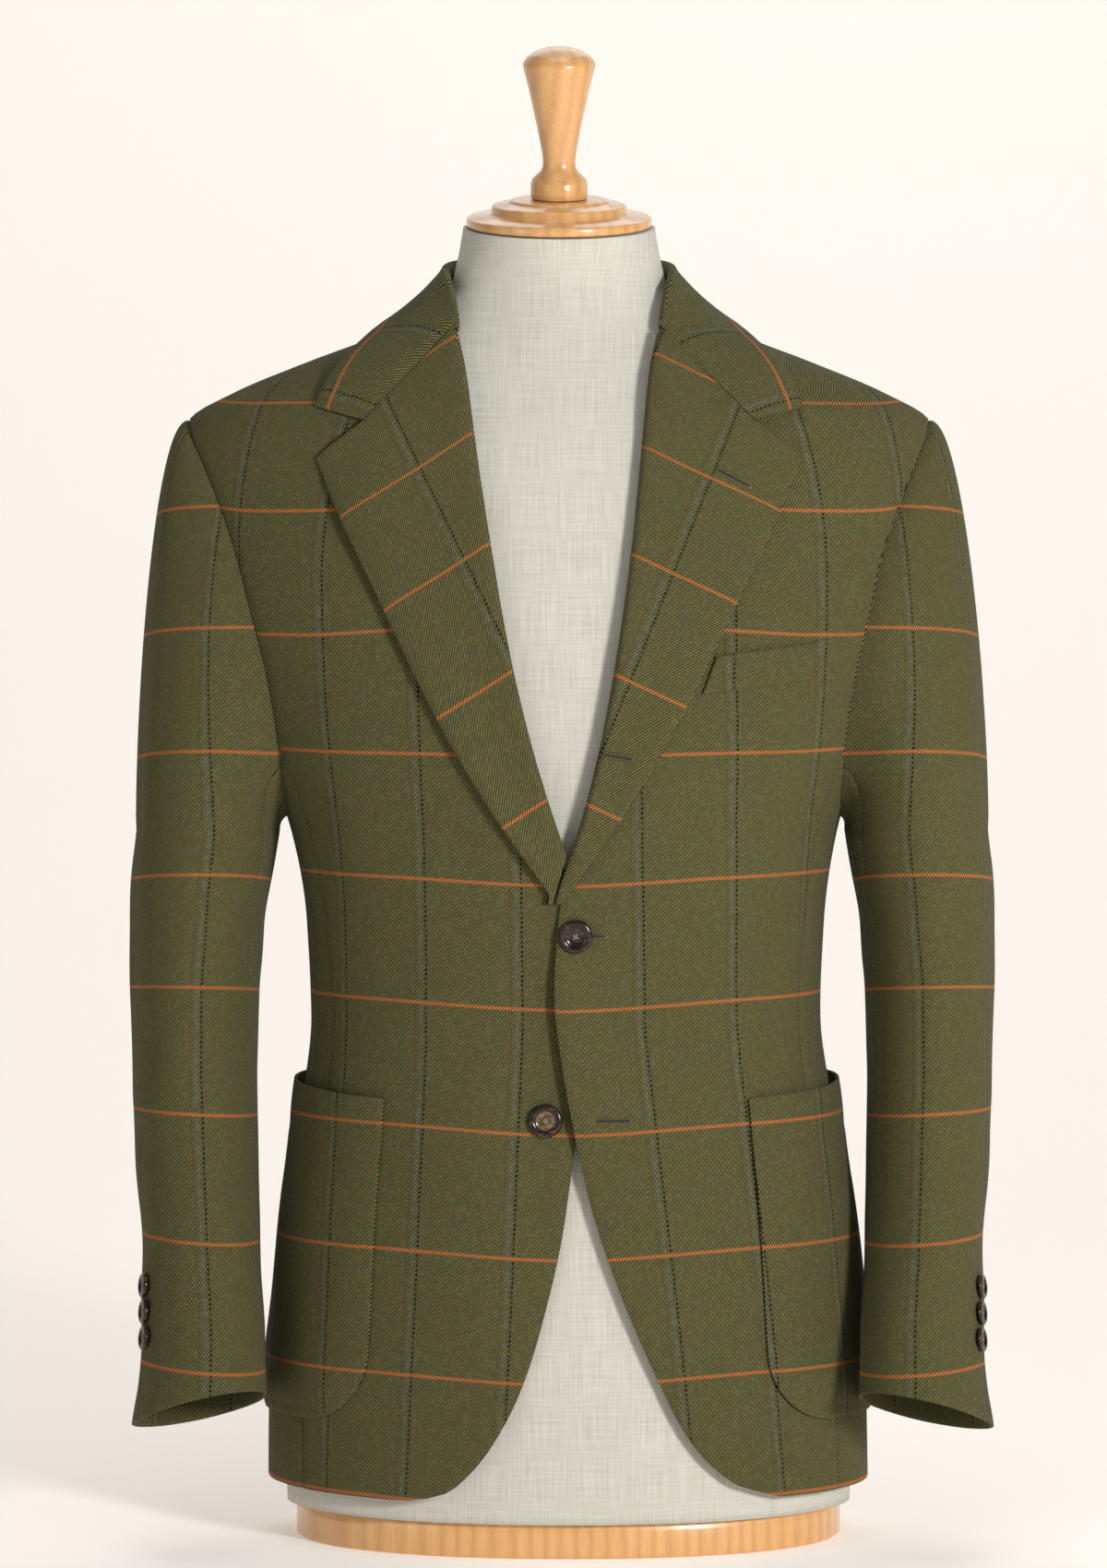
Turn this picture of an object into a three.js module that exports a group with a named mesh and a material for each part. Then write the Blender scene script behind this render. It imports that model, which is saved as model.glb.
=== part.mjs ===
// Tweed jacket, single breasted with notch lapels and patch pockets, on a linen bust form.
// Millimetres, +Z up. The front faces -Y, the wearer's left side is +X, and the form stands on Z = 0.
import * as THREE from "three";

// Driving dimensions
const CLOTH = 2; // canvassed tweed, outer face to inner face
const SEAM = 0.3; // clear gap between neighbouring pieces
const BOARD_TOP = 22; // top of the board that the form stands on
const HEM_HEIGHT = 37;
const PANEL_SEAM_ANGLE = THREE.MathUtils.degToRad(130); // where the side seams meet the armhole
const ARMHOLE_MIDDLE = 581;
const ARMHOLE_HALF_HEIGHT = 126;
const ARMHOLE_FRONT = 62; // reach of the armhole in front of the shoulder line
const ARMHOLE_BACK = 64;
const ARMHOLE_TAPER = 0.29; // the armhole is narrower at the shoulder than at the underarm
const GORGE_HEIGHT = 759; // where the collar seam meets the roll line
const NECKLINE_HEIGHT = 785;
const BREAK_HEIGHT = 405; // where the lapels begin to turn
const LAPEL_LIFT = 1.4; // air under the lapels and the collar
const FOLD_BEAD = 3; // how far a lapel's rolled edge stands past the front's own edge
const OVERLAP_INSET = 3.2; // how far the right front lies behind the left one
const POCKET_LIFT = 1.2;
const NECK_TILT = THREE.MathUtils.degToRad(10.5); // the neck block leans forward
const NECK_TOP = 827.8;
const NECK_CENTRE_Y = -4;

const rad = THREE.MathUtils.degToRad;
const lerp = THREE.MathUtils.lerp;
const RIGHT_ANGLE = Math.PI / 2;
const UP = new THREE.Vector3(0, 0, 1);

// Outline of the jacket's body, a horizontal section a row: half width, depth in front of and
// behind the shoulder line, squareness (2 is an ellipse), and sideways shift of the middle.
const BODY_SECTIONS = [
  { height: 30, half: 190, front: 124, back: 127, square: 2.1, shift: 6 },
  { height: 100, half: 189, front: 123, back: 125, square: 2.1, shift: 6 },
  { height: 155, half: 184, front: 121, back: 121, square: 2.1, shift: 6 },
  { height: 213, half: 178, front: 118, back: 115, square: 2.1, shift: 5.5 },
  { height: 272, half: 169, front: 114, back: 108, square: 2.1, shift: 5 },
  { height: 330, half: 161.5, front: 111, back: 103, square: 2.1, shift: 4.5 },
  { height: 388, half: 163.5, front: 114, back: 106, square: 2.15, shift: 4 },
  { height: 450, half: 174, front: 120, back: 115, square: 2.2, shift: 3 },
  { height: 500, half: 195, front: 122, back: 122, square: 2.2, shift: 2 },
  { height: 540, half: 211, front: 120, back: 127, square: 2.15, shift: 1 },
  { height: 584, half: 224, front: 115, back: 129, square: 2.1, shift: 0.5 },
  { height: 620, half: 231, front: 107, back: 128, square: 2.05, shift: 0 },
  { height: 660, half: 237, front: 96, back: 121, square: 2, shift: 0 },
  { height: 690, half: 238, front: 87, back: 112, square: 2, shift: 0 },
  { height: 707, half: 234, front: 81, back: 105, square: 2, shift: 0 },
  { height: 724, half: 206, front: 74, back: 97, square: 2, shift: 0 },
  { height: 743, half: 160, front: 67, back: 88, square: 2, shift: 0 },
  { height: 762, half: 111, front: 60, back: 79, square: 2, shift: 0 },
  { height: 775, half: 91, front: 55, back: 73, square: 2, shift: 0 },
  { height: 788, half: 77, front: 52, back: 67, square: 2, shift: 0 },
  { height: 800, half: 68.5, front: 50, back: 63, square: 2, shift: 0 },
  { height: 816, half: 65.5, front: 50, back: 61, square: 2, shift: 0 },
];

// The linen form, inside the jacket and up the neck.
const FORM_SECTIONS = [
  { height: 22, half: 179, front: 112, back: 114, square: 2.1, shift: 6 },
  { height: 100, half: 180, front: 114, back: 115, square: 2.1, shift: 6 },
  { height: 155, half: 176, front: 112, back: 112, square: 2.1, shift: 6 },
  { height: 213, half: 169, front: 109, back: 106, square: 2.1, shift: 5.5 },
  { height: 272, half: 160, front: 104, back: 99, square: 2.1, shift: 5 },
  { height: 330, half: 152, front: 101, back: 94, square: 2.1, shift: 4.5 },
  { height: 388, half: 154, front: 103, back: 97, square: 2.15, shift: 4 },
  { height: 450, half: 162, front: 109, back: 106, square: 2.2, shift: 3 },
  { height: 500, half: 169, front: 112, back: 113, square: 2.2, shift: 2 },
  { height: 540, half: 175, front: 110, back: 118, square: 2.15, shift: 1 },
  { height: 584, half: 181, front: 106, back: 120, square: 2.1, shift: 0.5 },
  { height: 620, half: 185, front: 99, back: 119, square: 2.05, shift: 0 },
  { height: 660, half: 188, front: 89, back: 112, square: 2, shift: 0 },
  { height: 690, half: 186, front: 80.5, back: 103.5, square: 2, shift: 0 },
  { height: 707, half: 180, front: 74, back: 96.5, square: 1.9, shift: 0 },
  { height: 724, half: 168, front: 66, back: 86, square: 1.8, shift: 0 },
  { height: 743, half: 152, front: 59, back: 76, square: 1.75, shift: 0 },
  { height: 762, half: 102, front: 52, back: 67, square: 1.75, shift: 0 },
  { height: 775, half: 83, front: 49, back: 59, square: 1.8, shift: 0 },
  { height: 788, half: 69, front: 48, back: 53, square: 1.9, shift: 0 },
  { height: 800, half: 62, front: 50, back: 50, square: 2, shift: 0 },
];
const NECK_RING = { half: 60.5, front: 60.5, back: 52 };

// Inner edge of each front from hem to gorge: the cutaway, the closing edge and the roll line.
const LEFT_FRONT_EDGE = [
  { height: 37, x: 137 },
  { height: 47, x: 109 },
  { height: 75, x: 81 },
  { height: 115, x: 60 },
  { height: 171, x: 36 },
  { height: 222, x: 19 },
  { height: 267, x: 9 },
  { height: 312, x: 1 },
  { height: 351, x: -3 },
  { height: 405, x: 0.6 },
  { height: 426, x: 6 },
  { height: 453, x: 15 },
  { height: 509, x: 29 },
  { height: 565, x: 39 },
  { height: 622, x: 47 },
  { height: 679, x: 53 },
  { height: 737, x: 59 },
  { height: 760, x: 64 },
];
const RIGHT_FRONT_EDGE = [
  { height: 37, x: 94 },
  { height: 41, x: 73 },
  { height: 53, x: 57 },
  { height: 75, x: 40 },
  { height: 109, x: 23 },
  { height: 154, x: 9 },
  { height: 202, x: -2 },
  { height: 244, x: -8 },
  { height: 300, x: -15 },
  { height: 351, x: -21 },
  { height: 405, x: -14 },
  { height: 426, x: -6 },
  { height: 453, x: 4 },
  { height: 509, x: 21 },
  { height: 565, x: 34 },
  { height: 622, x: 44 },
  { height: 679, x: 53 },
  { height: 737, x: 61 },
  { height: 760, x: 66 },
];

// Outer edge of a lapel, from the break to the tip.
const LAPEL_EDGE = [
  { height: 405, x: 1 },
  { height: 461, x: 39 },
  { height: 521, x: 74 },
  { height: 580, x: 103 },
  { height: 644, x: 134 },
  { height: 681, x: 150 },
];

// The collar from the centre back (station 0) to its front end (station 1). Each row gives the
// angle and height of the neck seam, of the fold and of the outer edge; the angle is 180 at the back.
const COLLAR_STATIONS = [
  { station: 0, seamTurn: 180, seam: 786.5, foldTurn: 180, fold: 812, edgeTurn: 180, edge: 768 },
  { station: 0.25, seamTurn: 146, seam: 787, foldTurn: 146, fold: 811, edgeTurn: 146, edge: 767 },
  { station: 0.48, seamTurn: 112, seam: 788, foldTurn: 112, fold: 806, edgeTurn: 112, edge: 764 },
  { station: 0.62, seamTurn: 90, seam: 787.5, foldTurn: 90, fold: 800, edgeTurn: 90, edge: 761.5 },
  { station: 0.76, seamTurn: 73, seam: 778, foldTurn: 69, fold: 788, edgeTurn: 78, edge: 753 },
  { station: 0.89, seamTurn: 60, seam: 765.5, foldTurn: 57, fold: 772, edgeTurn: 71.5, edge: 734 },
  { station: 1, seamTurn: 53.5, seam: 758.5, foldTurn: 51.5, fold: 761.5, edgeTurn: 68.5, edge: 711 },
];
const COLLAR_CORNER = { x: 151, height: 712 };
const LAPEL_TIP = { x: 150, height: 681 };
const NOTCH_SHARE = 0.65; // of the way along the lapel's top, and of the way across the collar's end
const NOTCH_DIP = 5; // how far the notch lies below a straight line from the roll to the tip

// A hanging sleeve below its head, a ring a row: distance of its middle from the centre plane,
// half width, middle and half depth fore and aft, the ring's forward tilt in degrees, and how
// steeply it slants down towards the outer side.
const SLEEVE_RINGS = [
  { height: 447, out: 222.5, half: 45.5, ahead: 0, depth: 76, tilt: 0, slant: 0 },
  { height: 415, out: 226.5, half: 45, ahead: -2, depth: 74, tilt: 0, slant: 0 },
  { height: 385, out: 228.5, half: 43.5, ahead: -2.5, depth: 72, tilt: 0, slant: 0 },
  { height: 345, out: 231, half: 41, ahead: -2, depth: 69, tilt: 1, slant: 0 },
  { height: 298, out: 231, half: 39.5, ahead: 2, depth: 66, tilt: 4, slant: 0.02 },
  { height: 250, out: 229.5, half: 39, ahead: 12, depth: 63, tilt: 8, slant: 0.05 },
  { height: 205, out: 227, half: 38.5, ahead: 27, depth: 60, tilt: 11, slant: 0.09 },
  { height: 165, out: 225, half: 37.5, ahead: 43, depth: 57, tilt: 13, slant: 0.14 },
  { height: 125, out: 222.5, half: 38.5, ahead: 60, depth: 54, tilt: 14, slant: 0.19 },
  { height: 89, out: 222.5, half: 40.5, ahead: 75, depth: 53, tilt: 15, slant: 0.23 },
];
const LEFT_SLEEVE_SWING = 8; // the left cuff hangs this much further forward than the right one
const LEFT_SLEEVE_SHIFT = 4; // and this much further out, as the body swings to the left

// Largest folds of a sleeve: height, place round the ring (0 outer, 90 front), depth and reach.
const SLEEVE_FOLDS = [
  { height: 520, turn: 62, depth: 2.6, reach: 75, spread: 16 },
  { height: 392, turn: 168, depth: -3.5, reach: 22, spread: 34 },
  { height: 330, turn: 48, depth: -2, reach: 60, spread: 20 },
  { height: 205, turn: 120, depth: -2.2, reach: 34, spread: 30 },
  { height: 195, turn: 15, depth: -2.5, reach: 26, spread: 26 },
  { height: 84, turn: 0, depth: 4, reach: 26, spread: 32 },
];

const BUTTONS = { frontRadius: 10.5, frontThickness: 4, cuffRadius: 7.7, cuffThickness: 3.2 };

// A smooth curve through one named column of a table, without overshoot.
function column(table, name, key = "height") {
  const xs = table.map((row) => row[key]);
  const ys = table.map((row) => row[name]);
  const chords = xs.slice(1).map((x, i) => (ys[i + 1] - ys[i]) / (x - xs[i]));
  const slopes = xs.map((_, i) => {
    const before = chords[Math.max(i - 1, 0)];
    const after = chords[Math.min(i, chords.length - 1)];
    if (before * after <= 0) return 0;
    return (2 * before * after) / (before + after);
  });
  return (x) => {
    if (x <= xs[0]) return ys[0];
    const last = xs.length - 1;
    if (x >= xs[last]) return ys[last];
    const i = xs.findIndex((value) => value > x) - 1;
    const width = xs[i + 1] - xs[i];
    const t = (x - xs[i]) / width;
    const rise = ys[i + 1] - ys[i];
    const bend = width * (slopes[i] * t * (1 - t) ** 2 - slopes[i + 1] * t * t * (1 - t));
    return ys[i] + rise * t * t * (3 - 2 * t) + bend;
  };
}

// A closed round shape given by horizontal sections: the turn is 0 at the front, 90 at a side.
function sectionedShape(table) {
  const names = ["half", "front", "back", "square", "shift"];
  const at = Object.fromEntries(names.map((name) => [name, column(table, name)]));
  const point = (turn, height) => {
    const depth = Math.cos(turn) > 0 ? at.front(height) : at.back(height);
    const n = at.square(height);
    const across = Math.abs(Math.sin(turn)) / at.half(height);
    const along = Math.abs(Math.cos(turn)) / depth;
    const radius = (across ** n + along ** n) ** (-1 / n);
    return new THREE.Vector3(
      radius * Math.sin(turn) + at.shift(height), -radius * Math.cos(turn), height);
  };
  return { at, point };
}

const body = sectionedShape(BODY_SECTIONS);
const form = sectionedShape(FORM_SECTIONS);

// The point of the jacket's outer face moved out along its normal; side is 1 or -1.
function onBody(side, turn, height, out = 0) {
  const step = 0.004;
  const across = body.point(side * turn + step, height).sub(body.point(side * turn - step, height));
  const along = body.point(side * turn, height + 1).sub(body.point(side * turn, height - 1));
  const normal = across.cross(along).normalize();
  return body.point(side * turn, height).addScaledVector(normal, out);
}

// The turn at which the front of the body has this x.
function turnAtX(x, height) {
  const share = Math.min(Math.abs(x - body.at.shift(height)) / body.at.half(height), 0.999);
  const n = body.at.square(height);
  const depth = body.at.front(height) * (1 - share ** n) ** (1 / n);
  return Math.atan2(x - body.at.shift(height), depth);
}

// The turn at which the armhole crosses, and its height, at an angle from the shoulder point.
function armhole(angle, shrink = 0) {
  const height = ARMHOLE_MIDDLE + (ARMHOLE_HALF_HEIGHT - shrink) * Math.cos(angle);
  const reach = (angle > 0 ? ARMHOLE_FRONT : ARMHOLE_BACK) - shrink;
  const ahead = reach * (1 - ARMHOLE_TAPER * Math.cos(angle)) * Math.sin(angle);
  const depth = ahead > 0 ? body.at.front(height) : body.at.back(height);
  const n = body.at.square(height);
  const out = body.at.half(height) * (1 - Math.min(Math.abs(ahead) / depth, 0.99) ** n) ** (1 / n);
  return { turn: Math.atan2(out, ahead), height };
}

// A wall between two grids of points, closed along its four edges, or round when it is a tube.
function wall(outer, inner, { tube = false } = {}) {
  const rows = outer.length;
  const columns = outer[0].length;
  const spans = tube ? columns : columns - 1;
  const positions = [];
  const quad = (a, b, c, d) => {
    for (const p of [a, b, c, a, c, d]) positions.push(p.x, p.y, p.z);
  };
  for (let i = 0; i < rows - 1; i++) {
    for (let j = 0; j < spans; j++) {
      const k = (j + 1) % columns;
      quad(outer[i][j], outer[i][k], outer[i + 1][k], outer[i + 1][j]);
      quad(inner[i][k], inner[i][j], inner[i + 1][j], inner[i + 1][k]);
    }
    if (!tube) {
      const end = columns - 1;
      quad(inner[i][0], outer[i][0], outer[i + 1][0], inner[i + 1][0]);
      quad(outer[i][end], inner[i][end], inner[i + 1][end], outer[i + 1][end]);
    }
  }
  for (let j = 0; j < spans; j++) {
    const k = (j + 1) % columns;
    const top = rows - 1;
    quad(inner[0][j], inner[0][k], outer[0][k], outer[0][j]);
    quad(outer[top][j], outer[top][k], inner[top][k], inner[top][j]);
  }
  return new THREE.BufferGeometry().setAttribute(
    "position", new THREE.Float32BufferAttribute(positions, 3));
}

// A solid lofted through closed rings of points, with a flat cap at both ends.
function loft(rings) {
  const count = rings[0].length;
  const positions = [];
  const face = (...points) => points.forEach((p) => positions.push(p.x, p.y, p.z));
  const middle = (ring) =>
    ring.reduce((sum, p) => sum.add(p), new THREE.Vector3()).divideScalar(count);
  const bottom = middle(rings[0]);
  const top = middle(rings.at(-1));
  for (let j = 0; j < count; j++) {
    const k = (j + 1) % count;
    face(bottom, rings[0][k], rings[0][j]);
    face(top, rings.at(-1)[j], rings.at(-1)[k]);
    for (let i = 0; i < rings.length - 1; i++) {
      const [lower, upper] = [rings[i], rings[i + 1]];
      face(lower[j], lower[k], upper[k]);
      face(lower[j], upper[k], upper[j]);
    }
  }
  return new THREE.BufferGeometry().setAttribute(
    "position", new THREE.Float32BufferAttribute(positions, 3));
}

// Two grids from a function of row and column that returns an outer and an inner point. A grid
// made for the right side runs the other way, so that its outer face still points out.
function grids(rows, columns, side, place) {
  const order = Array.from({ length: columns }, (_, j) => (side > 0 ? j : columns - 1 - j));
  const pairs = Array.from({ length: rows }, (_, i) => order.map((j) => place(i, j)));
  return [pairs.map((row) => row.map((p) => p[0])), pairs.map((row) => row.map((p) => p[1]))];
}

const steps = (count) => Array.from({ length: count + 1 }, (_, i) => i / count);

// Shares of the way from the hem up to the side seams' tops, closer together at the hem.
const SKIRT_ROWS = steps(13).map((t) => t ** 1.6);
const SEAM_TOP = armhole(PANEL_SEAM_ANGLE).height;
const skirtHeight = (share, top = SEAM_TOP) => lerp(HEM_HEIGHT, top, share);
const ARM_ANGLES = [112, 94, 76, 58, 41, 26, 12, 0].map(rad);
const SHOULDER_ROWS = [717, 728, 738, 747, 755, 762, 769, 777];
const seamTurn = { front: rad(70), back: rad(112) };

// Turn of a side seam at a height: from its place at the hem to the armhole.
function sideSeam(which, height) {
  const sign = which === "front" ? 1 : -1;
  const top = armhole(sign * PANEL_SEAM_ANGLE).turn;
  const share = (height - HEM_HEIGHT) / (SEAM_TOP - HEM_HEIGHT);
  return lerp(seamTurn[which], top, share ** 1.5);
}

const gapTurn = (turn, height) => SEAM / 2 / Math.hypot(
  body.point(turn, height).x - body.at.shift(height), body.point(turn, height).y);

const necklineTurn = column(
  COLLAR_STATIONS.slice(3).reverse().map((row) => ({ height: row.seam, turn: rad(row.seamTurn) })),
  "turn");

const frontEdge = {
  1: column(LEFT_FRONT_EDGE, "x"),
  "-1": column(RIGHT_FRONT_EDGE, "x"),
};
const lapelEdge = column(LAPEL_EDGE, "x");

// Turn of a front's inner edge at a height, past the roll line's bead above the break.
function frontInnerTurn(side, height) {
  if (height > GORGE_HEIGHT) return necklineTurn(height + 3 * SEAM) + 5 * gapTurn(rad(60), height);
  const bead = height > BREAK_HEIGHT ? 1.8 : 0;
  return side * turnAtX(side * (frontEdge[side](height) + bead), height);
}

// How far the right front lies behind the left one where they overlap.
function inset(side, x, height) {
  if (side > 0) return 0;
  const across = THREE.MathUtils.smoothstep(x, -48, -8);
  const down = 1 - THREE.MathUtils.smoothstep(height, 432, 500);
  return OVERLAP_INSET * across * down;
}

// Outer and inner point of the body cloth at a turn and height.
function clothPair(side, turn, height) {
  const x = body.point(side * turn, height).x;
  const behind = inset(side, x, height);
  return [onBody(side, turn, height, -behind), onBody(side, turn, height, -behind - CLOTH)];
}

const COLUMN_BIAS = 1.35; // draws the grid's columns towards the sides, where the body curves most
const FRONT_COLUMNS = 10;
function frontPanel(side) {
  const rows = [
    ...SKIRT_ROWS.map((share) => {
      const height = skirtHeight(share);
      return { height, outer: sideSeam("front", height) - gapTurn(rad(80), height) };
    }),
    ...ARM_ANGLES.map((angle) => ({
      height: armhole(angle).height,
      outer: armhole(angle).turn - gapTurn(rad(90), armhole(angle).height),
    })),
    ...SHOULDER_ROWS.map((height) => ({
      height, outer: RIGHT_ANGLE - gapTurn(RIGHT_ANGLE, height) })),
  ];
  return wall(...grids(rows.length, FRONT_COLUMNS, side, (i, j) => {
    const { height, outer } = rows[i];
    const share = 1 - (1 - j / (FRONT_COLUMNS - 1)) ** COLUMN_BIAS;
    return clothPair(side, lerp(frontInnerTurn(side, height), outer, share), height);
  }));
}

const SIDE_COLUMNS = 9;
function sidePanel(side) {
  const seamTops = {
    front: armhole(PANEL_SEAM_ANGLE).turn,
    back: armhole(-PANEL_SEAM_ANGLE).turn,
  };
  return wall(...grids(SKIRT_ROWS.length, SIDE_COLUMNS, side, (i, j) => {
    const across = j / (SIDE_COLUMNS - 1);
    const angle = lerp(PANEL_SEAM_ANGLE, 2 * Math.PI - PANEL_SEAM_ANGLE, across);
    const top = armhole(angle > Math.PI ? angle - 2 * Math.PI : angle);
    const height = skirtHeight(SKIRT_ROWS[i], top.height);
    const gap = gapTurn(rad(80), height);
    const front = sideSeam("front", height) + gap;
    const back = sideSeam("back", height) - gap;
    const share = THREE.MathUtils.inverseLerp(seamTops.front, seamTops.back, top.turn);
    return clothPair(side, lerp(front, back, share), height);
  }));
}

const BACK_COLUMNS = 8;
function backPanel(side) {
  const neckline = column(COLLAR_STATIONS.slice(0, 4).reverse().map(
    (row) => ({ turn: rad(row.seamTurn), height: row.seam })), "height", "turn");
  const shoulderTop = SHOULDER_ROWS.at(-1) + 7;
  const rows = [
    ...SKIRT_ROWS.map((share) => {
      const height = skirtHeight(share);
      return { height, outer: sideSeam("back", height) + gapTurn(rad(80), height) };
    }),
    ...ARM_ANGLES.map((angle) => ({
      height: armhole(-angle).height,
      outer: armhole(-angle).turn + gapTurn(rad(90), armhole(-angle).height),
    })),
    ...[...SHOULDER_ROWS, shoulderTop].map((height) => ({
      height, outer: RIGHT_ANGLE + gapTurn(RIGHT_ANGLE, height) })),
  ];
  return wall(...grids(rows.length, BACK_COLUMNS, side, (i, j) => {
    const middle = Math.PI - gapTurn(Math.PI, rows[i].height);
    const turn = lerp(rows[i].outer, middle, (j / (BACK_COLUMNS - 1)) ** COLUMN_BIAS);
    const height = i === rows.length - 1 ? neckline(turn) - SEAM - 0.5 : rows[i].height;
    return clothPair(side, turn, height);
  }));
}

// The gorge seam, from the roll line to the notch, and on along the lapel's top to its tip.
function gorge(side, share) {
  const away = share < NOTCH_SHARE ? share / NOTCH_SHARE : (1 - share) / (1 - NOTCH_SHARE);
  return {
    x: lerp(frontEdge[side](GORGE_HEIGHT), LAPEL_TIP.x, share),
    height: lerp(GORGE_HEIGHT, LAPEL_TIP.height, share) - NOTCH_DIP * away,
  };
}

// A lapel lies on the front from the roll line to its edge, with a rolled bead along the fold.
// The right lapel ends where it passes behind the left front.
const LAPEL_SHARES = [-1, 0, 0.1, 0.28, 0.47, 0.65, 0.82, 1];
const LAPEL_ROWS = 13;
function lapel(side) {
  const innerEdge = (height) => {
    const roll = frontEdge[side](height) - FOLD_BEAD;
    return side > 0 ? roll : Math.max(roll, FOLD_BEAD + 1.5 - frontEdge[1](height));
  };
  return wall(...grids(LAPEL_ROWS, LAPEL_SHARES.length, side, (i, j) => {
    const up = (i / (LAPEL_ROWS - 1)) ** 1.15;
    const share = Math.max(LAPEL_SHARES[j], 0);
    const isBead = LAPEL_SHARES[j] < 0;
    const rollHeight = lerp(BREAK_HEIGHT + 2, GORGE_HEIGHT, up);
    const edgeHeight = lerp(BREAK_HEIGHT + 2, LAPEL_TIP.height, up);
    const dip = (lerp(GORGE_HEIGHT, LAPEL_TIP.height, share) - gorge(side, share).height) * up ** 6;
    const height = lerp(rollHeight, edgeHeight, share) - dip - SEAM * up;
    const start = innerEdge(rollHeight);
    const edge = Math.max(lapelEdge(edgeHeight), start + 2 * FOLD_BEAD);
    const x = isBead ? start : lerp(start + FOLD_BEAD, edge, share);
    const turn = side * turnAtX(side * x, height);
    const lift = isBead ? -LAPEL_LIFT : LAPEL_LIFT + 0.8 * Math.sin(Math.PI * share);
    const thick = isBead ? CLOTH * 1.8 : CLOTH + 0.2;
    return [onBody(side, turn, height, lift + thick), onBody(side, turn, height, lift)];
  }));
}

// The collar: a stand that rises from the neckline, a fold, and a fall over the shoulders.
const COLLAR_COUNT = 37;
const COLLAR_AIR = 2.2; // further air under the collar where it passes over the shoulders
const FALL_SHARES = [0.08, 0.28, 0.47, NOTCH_SHARE, 0.84, 1];
function collarEnd(side, share) {
  const along = gorge(side, Math.min(share, NOTCH_SHARE));
  const past = Math.max(share - NOTCH_SHARE, 0) / (1 - NOTCH_SHARE);
  const x = lerp(along.x, COLLAR_CORNER.x, past);
  const height = lerp(along.height, COLLAR_CORNER.height, past) + SEAM;
  return { turn: side * turnAtX(side * x, height), height };
}

function collar() {
  const names = ["seamTurn", "seam", "foldTurn", "fold", "edgeTurn", "edge"];
  const at = Object.fromEntries(names.map((name) => [name, column(COLLAR_STATIONS, name, "station")]));
  const strips = steps(COLLAR_COUNT - 1).map((t) => {
    const station = 1 - 2 * t;
    const side = station < 0 ? -1 : 1;
    const row = Object.fromEntries(names.map((name) => [name, at[name](Math.abs(station))]));
    // Towards the front the fall's edge turns to follow the gorge as far as the notch.
    const end = THREE.MathUtils.smoothstep(Math.abs(station), 0.8, 1);
    const air = 1 - THREE.MathUtils.smoothstep(Math.abs(station), 0.88, 0.98);
    const lift = LAPEL_LIFT + COLLAR_AIR * air;
    const fall = (share, out) => {
      const front = collarEnd(side, share);
      const turn = lerp(rad(lerp(row.foldTurn, row.edgeTurn, share)), front.turn, end);
      const height = lerp(lerp(row.fold, row.edge, share), front.height, end);
      return onBody(side, turn, height, lift + out);
    };
    const stand = (share, out) => onBody(
      side, rad(lerp(row.seamTurn, row.foldTurn, share)), lerp(row.seam, row.fold, share), out);
    const fold = (rise, out) => onBody(side, rad(row.foldTurn), row.fold + rise, out);
    return [
      ...FALL_SHARES.toReversed().map((share) => [fall(share, CLOTH + 0.2), fall(share, 0)]),
      [fall(0, CLOTH + 0.5), fall(0, 0)],
      [fold(CLOTH, LAPEL_LIFT / 2), fold(0, LAPEL_LIFT / 2)],
      [stand(0.9, -CLOTH), stand(0.8, 0)],
      [stand(0.45, -CLOTH), stand(0.4, 0)],
      [stand(0, -CLOTH), stand(0, 0)],
    ];
  });
  const face = (which) => strips[0].map((_, i) => strips.map((strip) => strip[i][which]));
  return wall(face(0), face(1));
}

// Rings of a sleeve's outer face, from the armhole to the cuff, at angles from the outer side.
const ARMHOLE_EASE = 1.1; // how far a sleeve's first ring lies inside the armhole
const HEAD_STEPS = [0, 0.05, 0.14, 0.27, 0.43, 0.61, 0.8];
const ringAt = Object.fromEntries(
  ["out", "half", "ahead", "depth", "tilt", "slant"].map((name) => [
    name, column([...SLEEVE_RINGS].reverse(), name)]));
const SLEEVE_HEIGHTS = [447, 428, 408, 390, 370, 345, 318, 290, 262, 235, 210, 185, 160, 138, 116, 89];

function sleeveSwing(side, height) {
  return side > 0 ? LEFT_SLEEVE_SWING * THREE.MathUtils.smoothstep(-height, -330, -89) : 0;
}

function foldDepth(turn, height) {
  return SLEEVE_FOLDS.reduce((sum, fold) => {
    const away = THREE.MathUtils.euclideanModulo(turn - fold.turn + 180, 360) - 180;
    const far = ((height - fold.height) / fold.reach) ** 2 + (away / fold.spread) ** 2;
    return sum + fold.depth * Math.exp(-far);
  }, 0);
}

function sleeveRingPoint(side, angle, height, inward) {
  const half = ringAt.half(height) - inward + foldDepth(THREE.MathUtils.radToDeg(angle), height);
  const depth = ringAt.depth(height) - inward;
  const tilt = rad(ringAt.tilt(height));
  const ahead = depth * Math.sin(angle);
  return new THREE.Vector3(
    side * (ringAt.out(height) + half * Math.cos(angle)) + (side > 0 ? LEFT_SLEEVE_SHIFT : 0),
    -(ringAt.ahead(height) + sleeveSwing(side, height)) - ahead * Math.cos(tilt),
    height + ahead * Math.sin(tilt) - half * Math.cos(angle) * ringAt.slant(height),
  );
}

// A point of the hanging sleeve and the way that its outer face looks there.
function sleeveSurface(side, angle, height) {
  const at = sleeveRingPoint(side, angle, height, 0);
  const along = sleeveRingPoint(side, angle, height + 1, 0).sub(at);
  const round = sleeveRingPoint(side, angle + 0.02, height, 0).sub(at);
  return [at, along.cross(round).multiplyScalar(side).normalize()];
}

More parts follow.
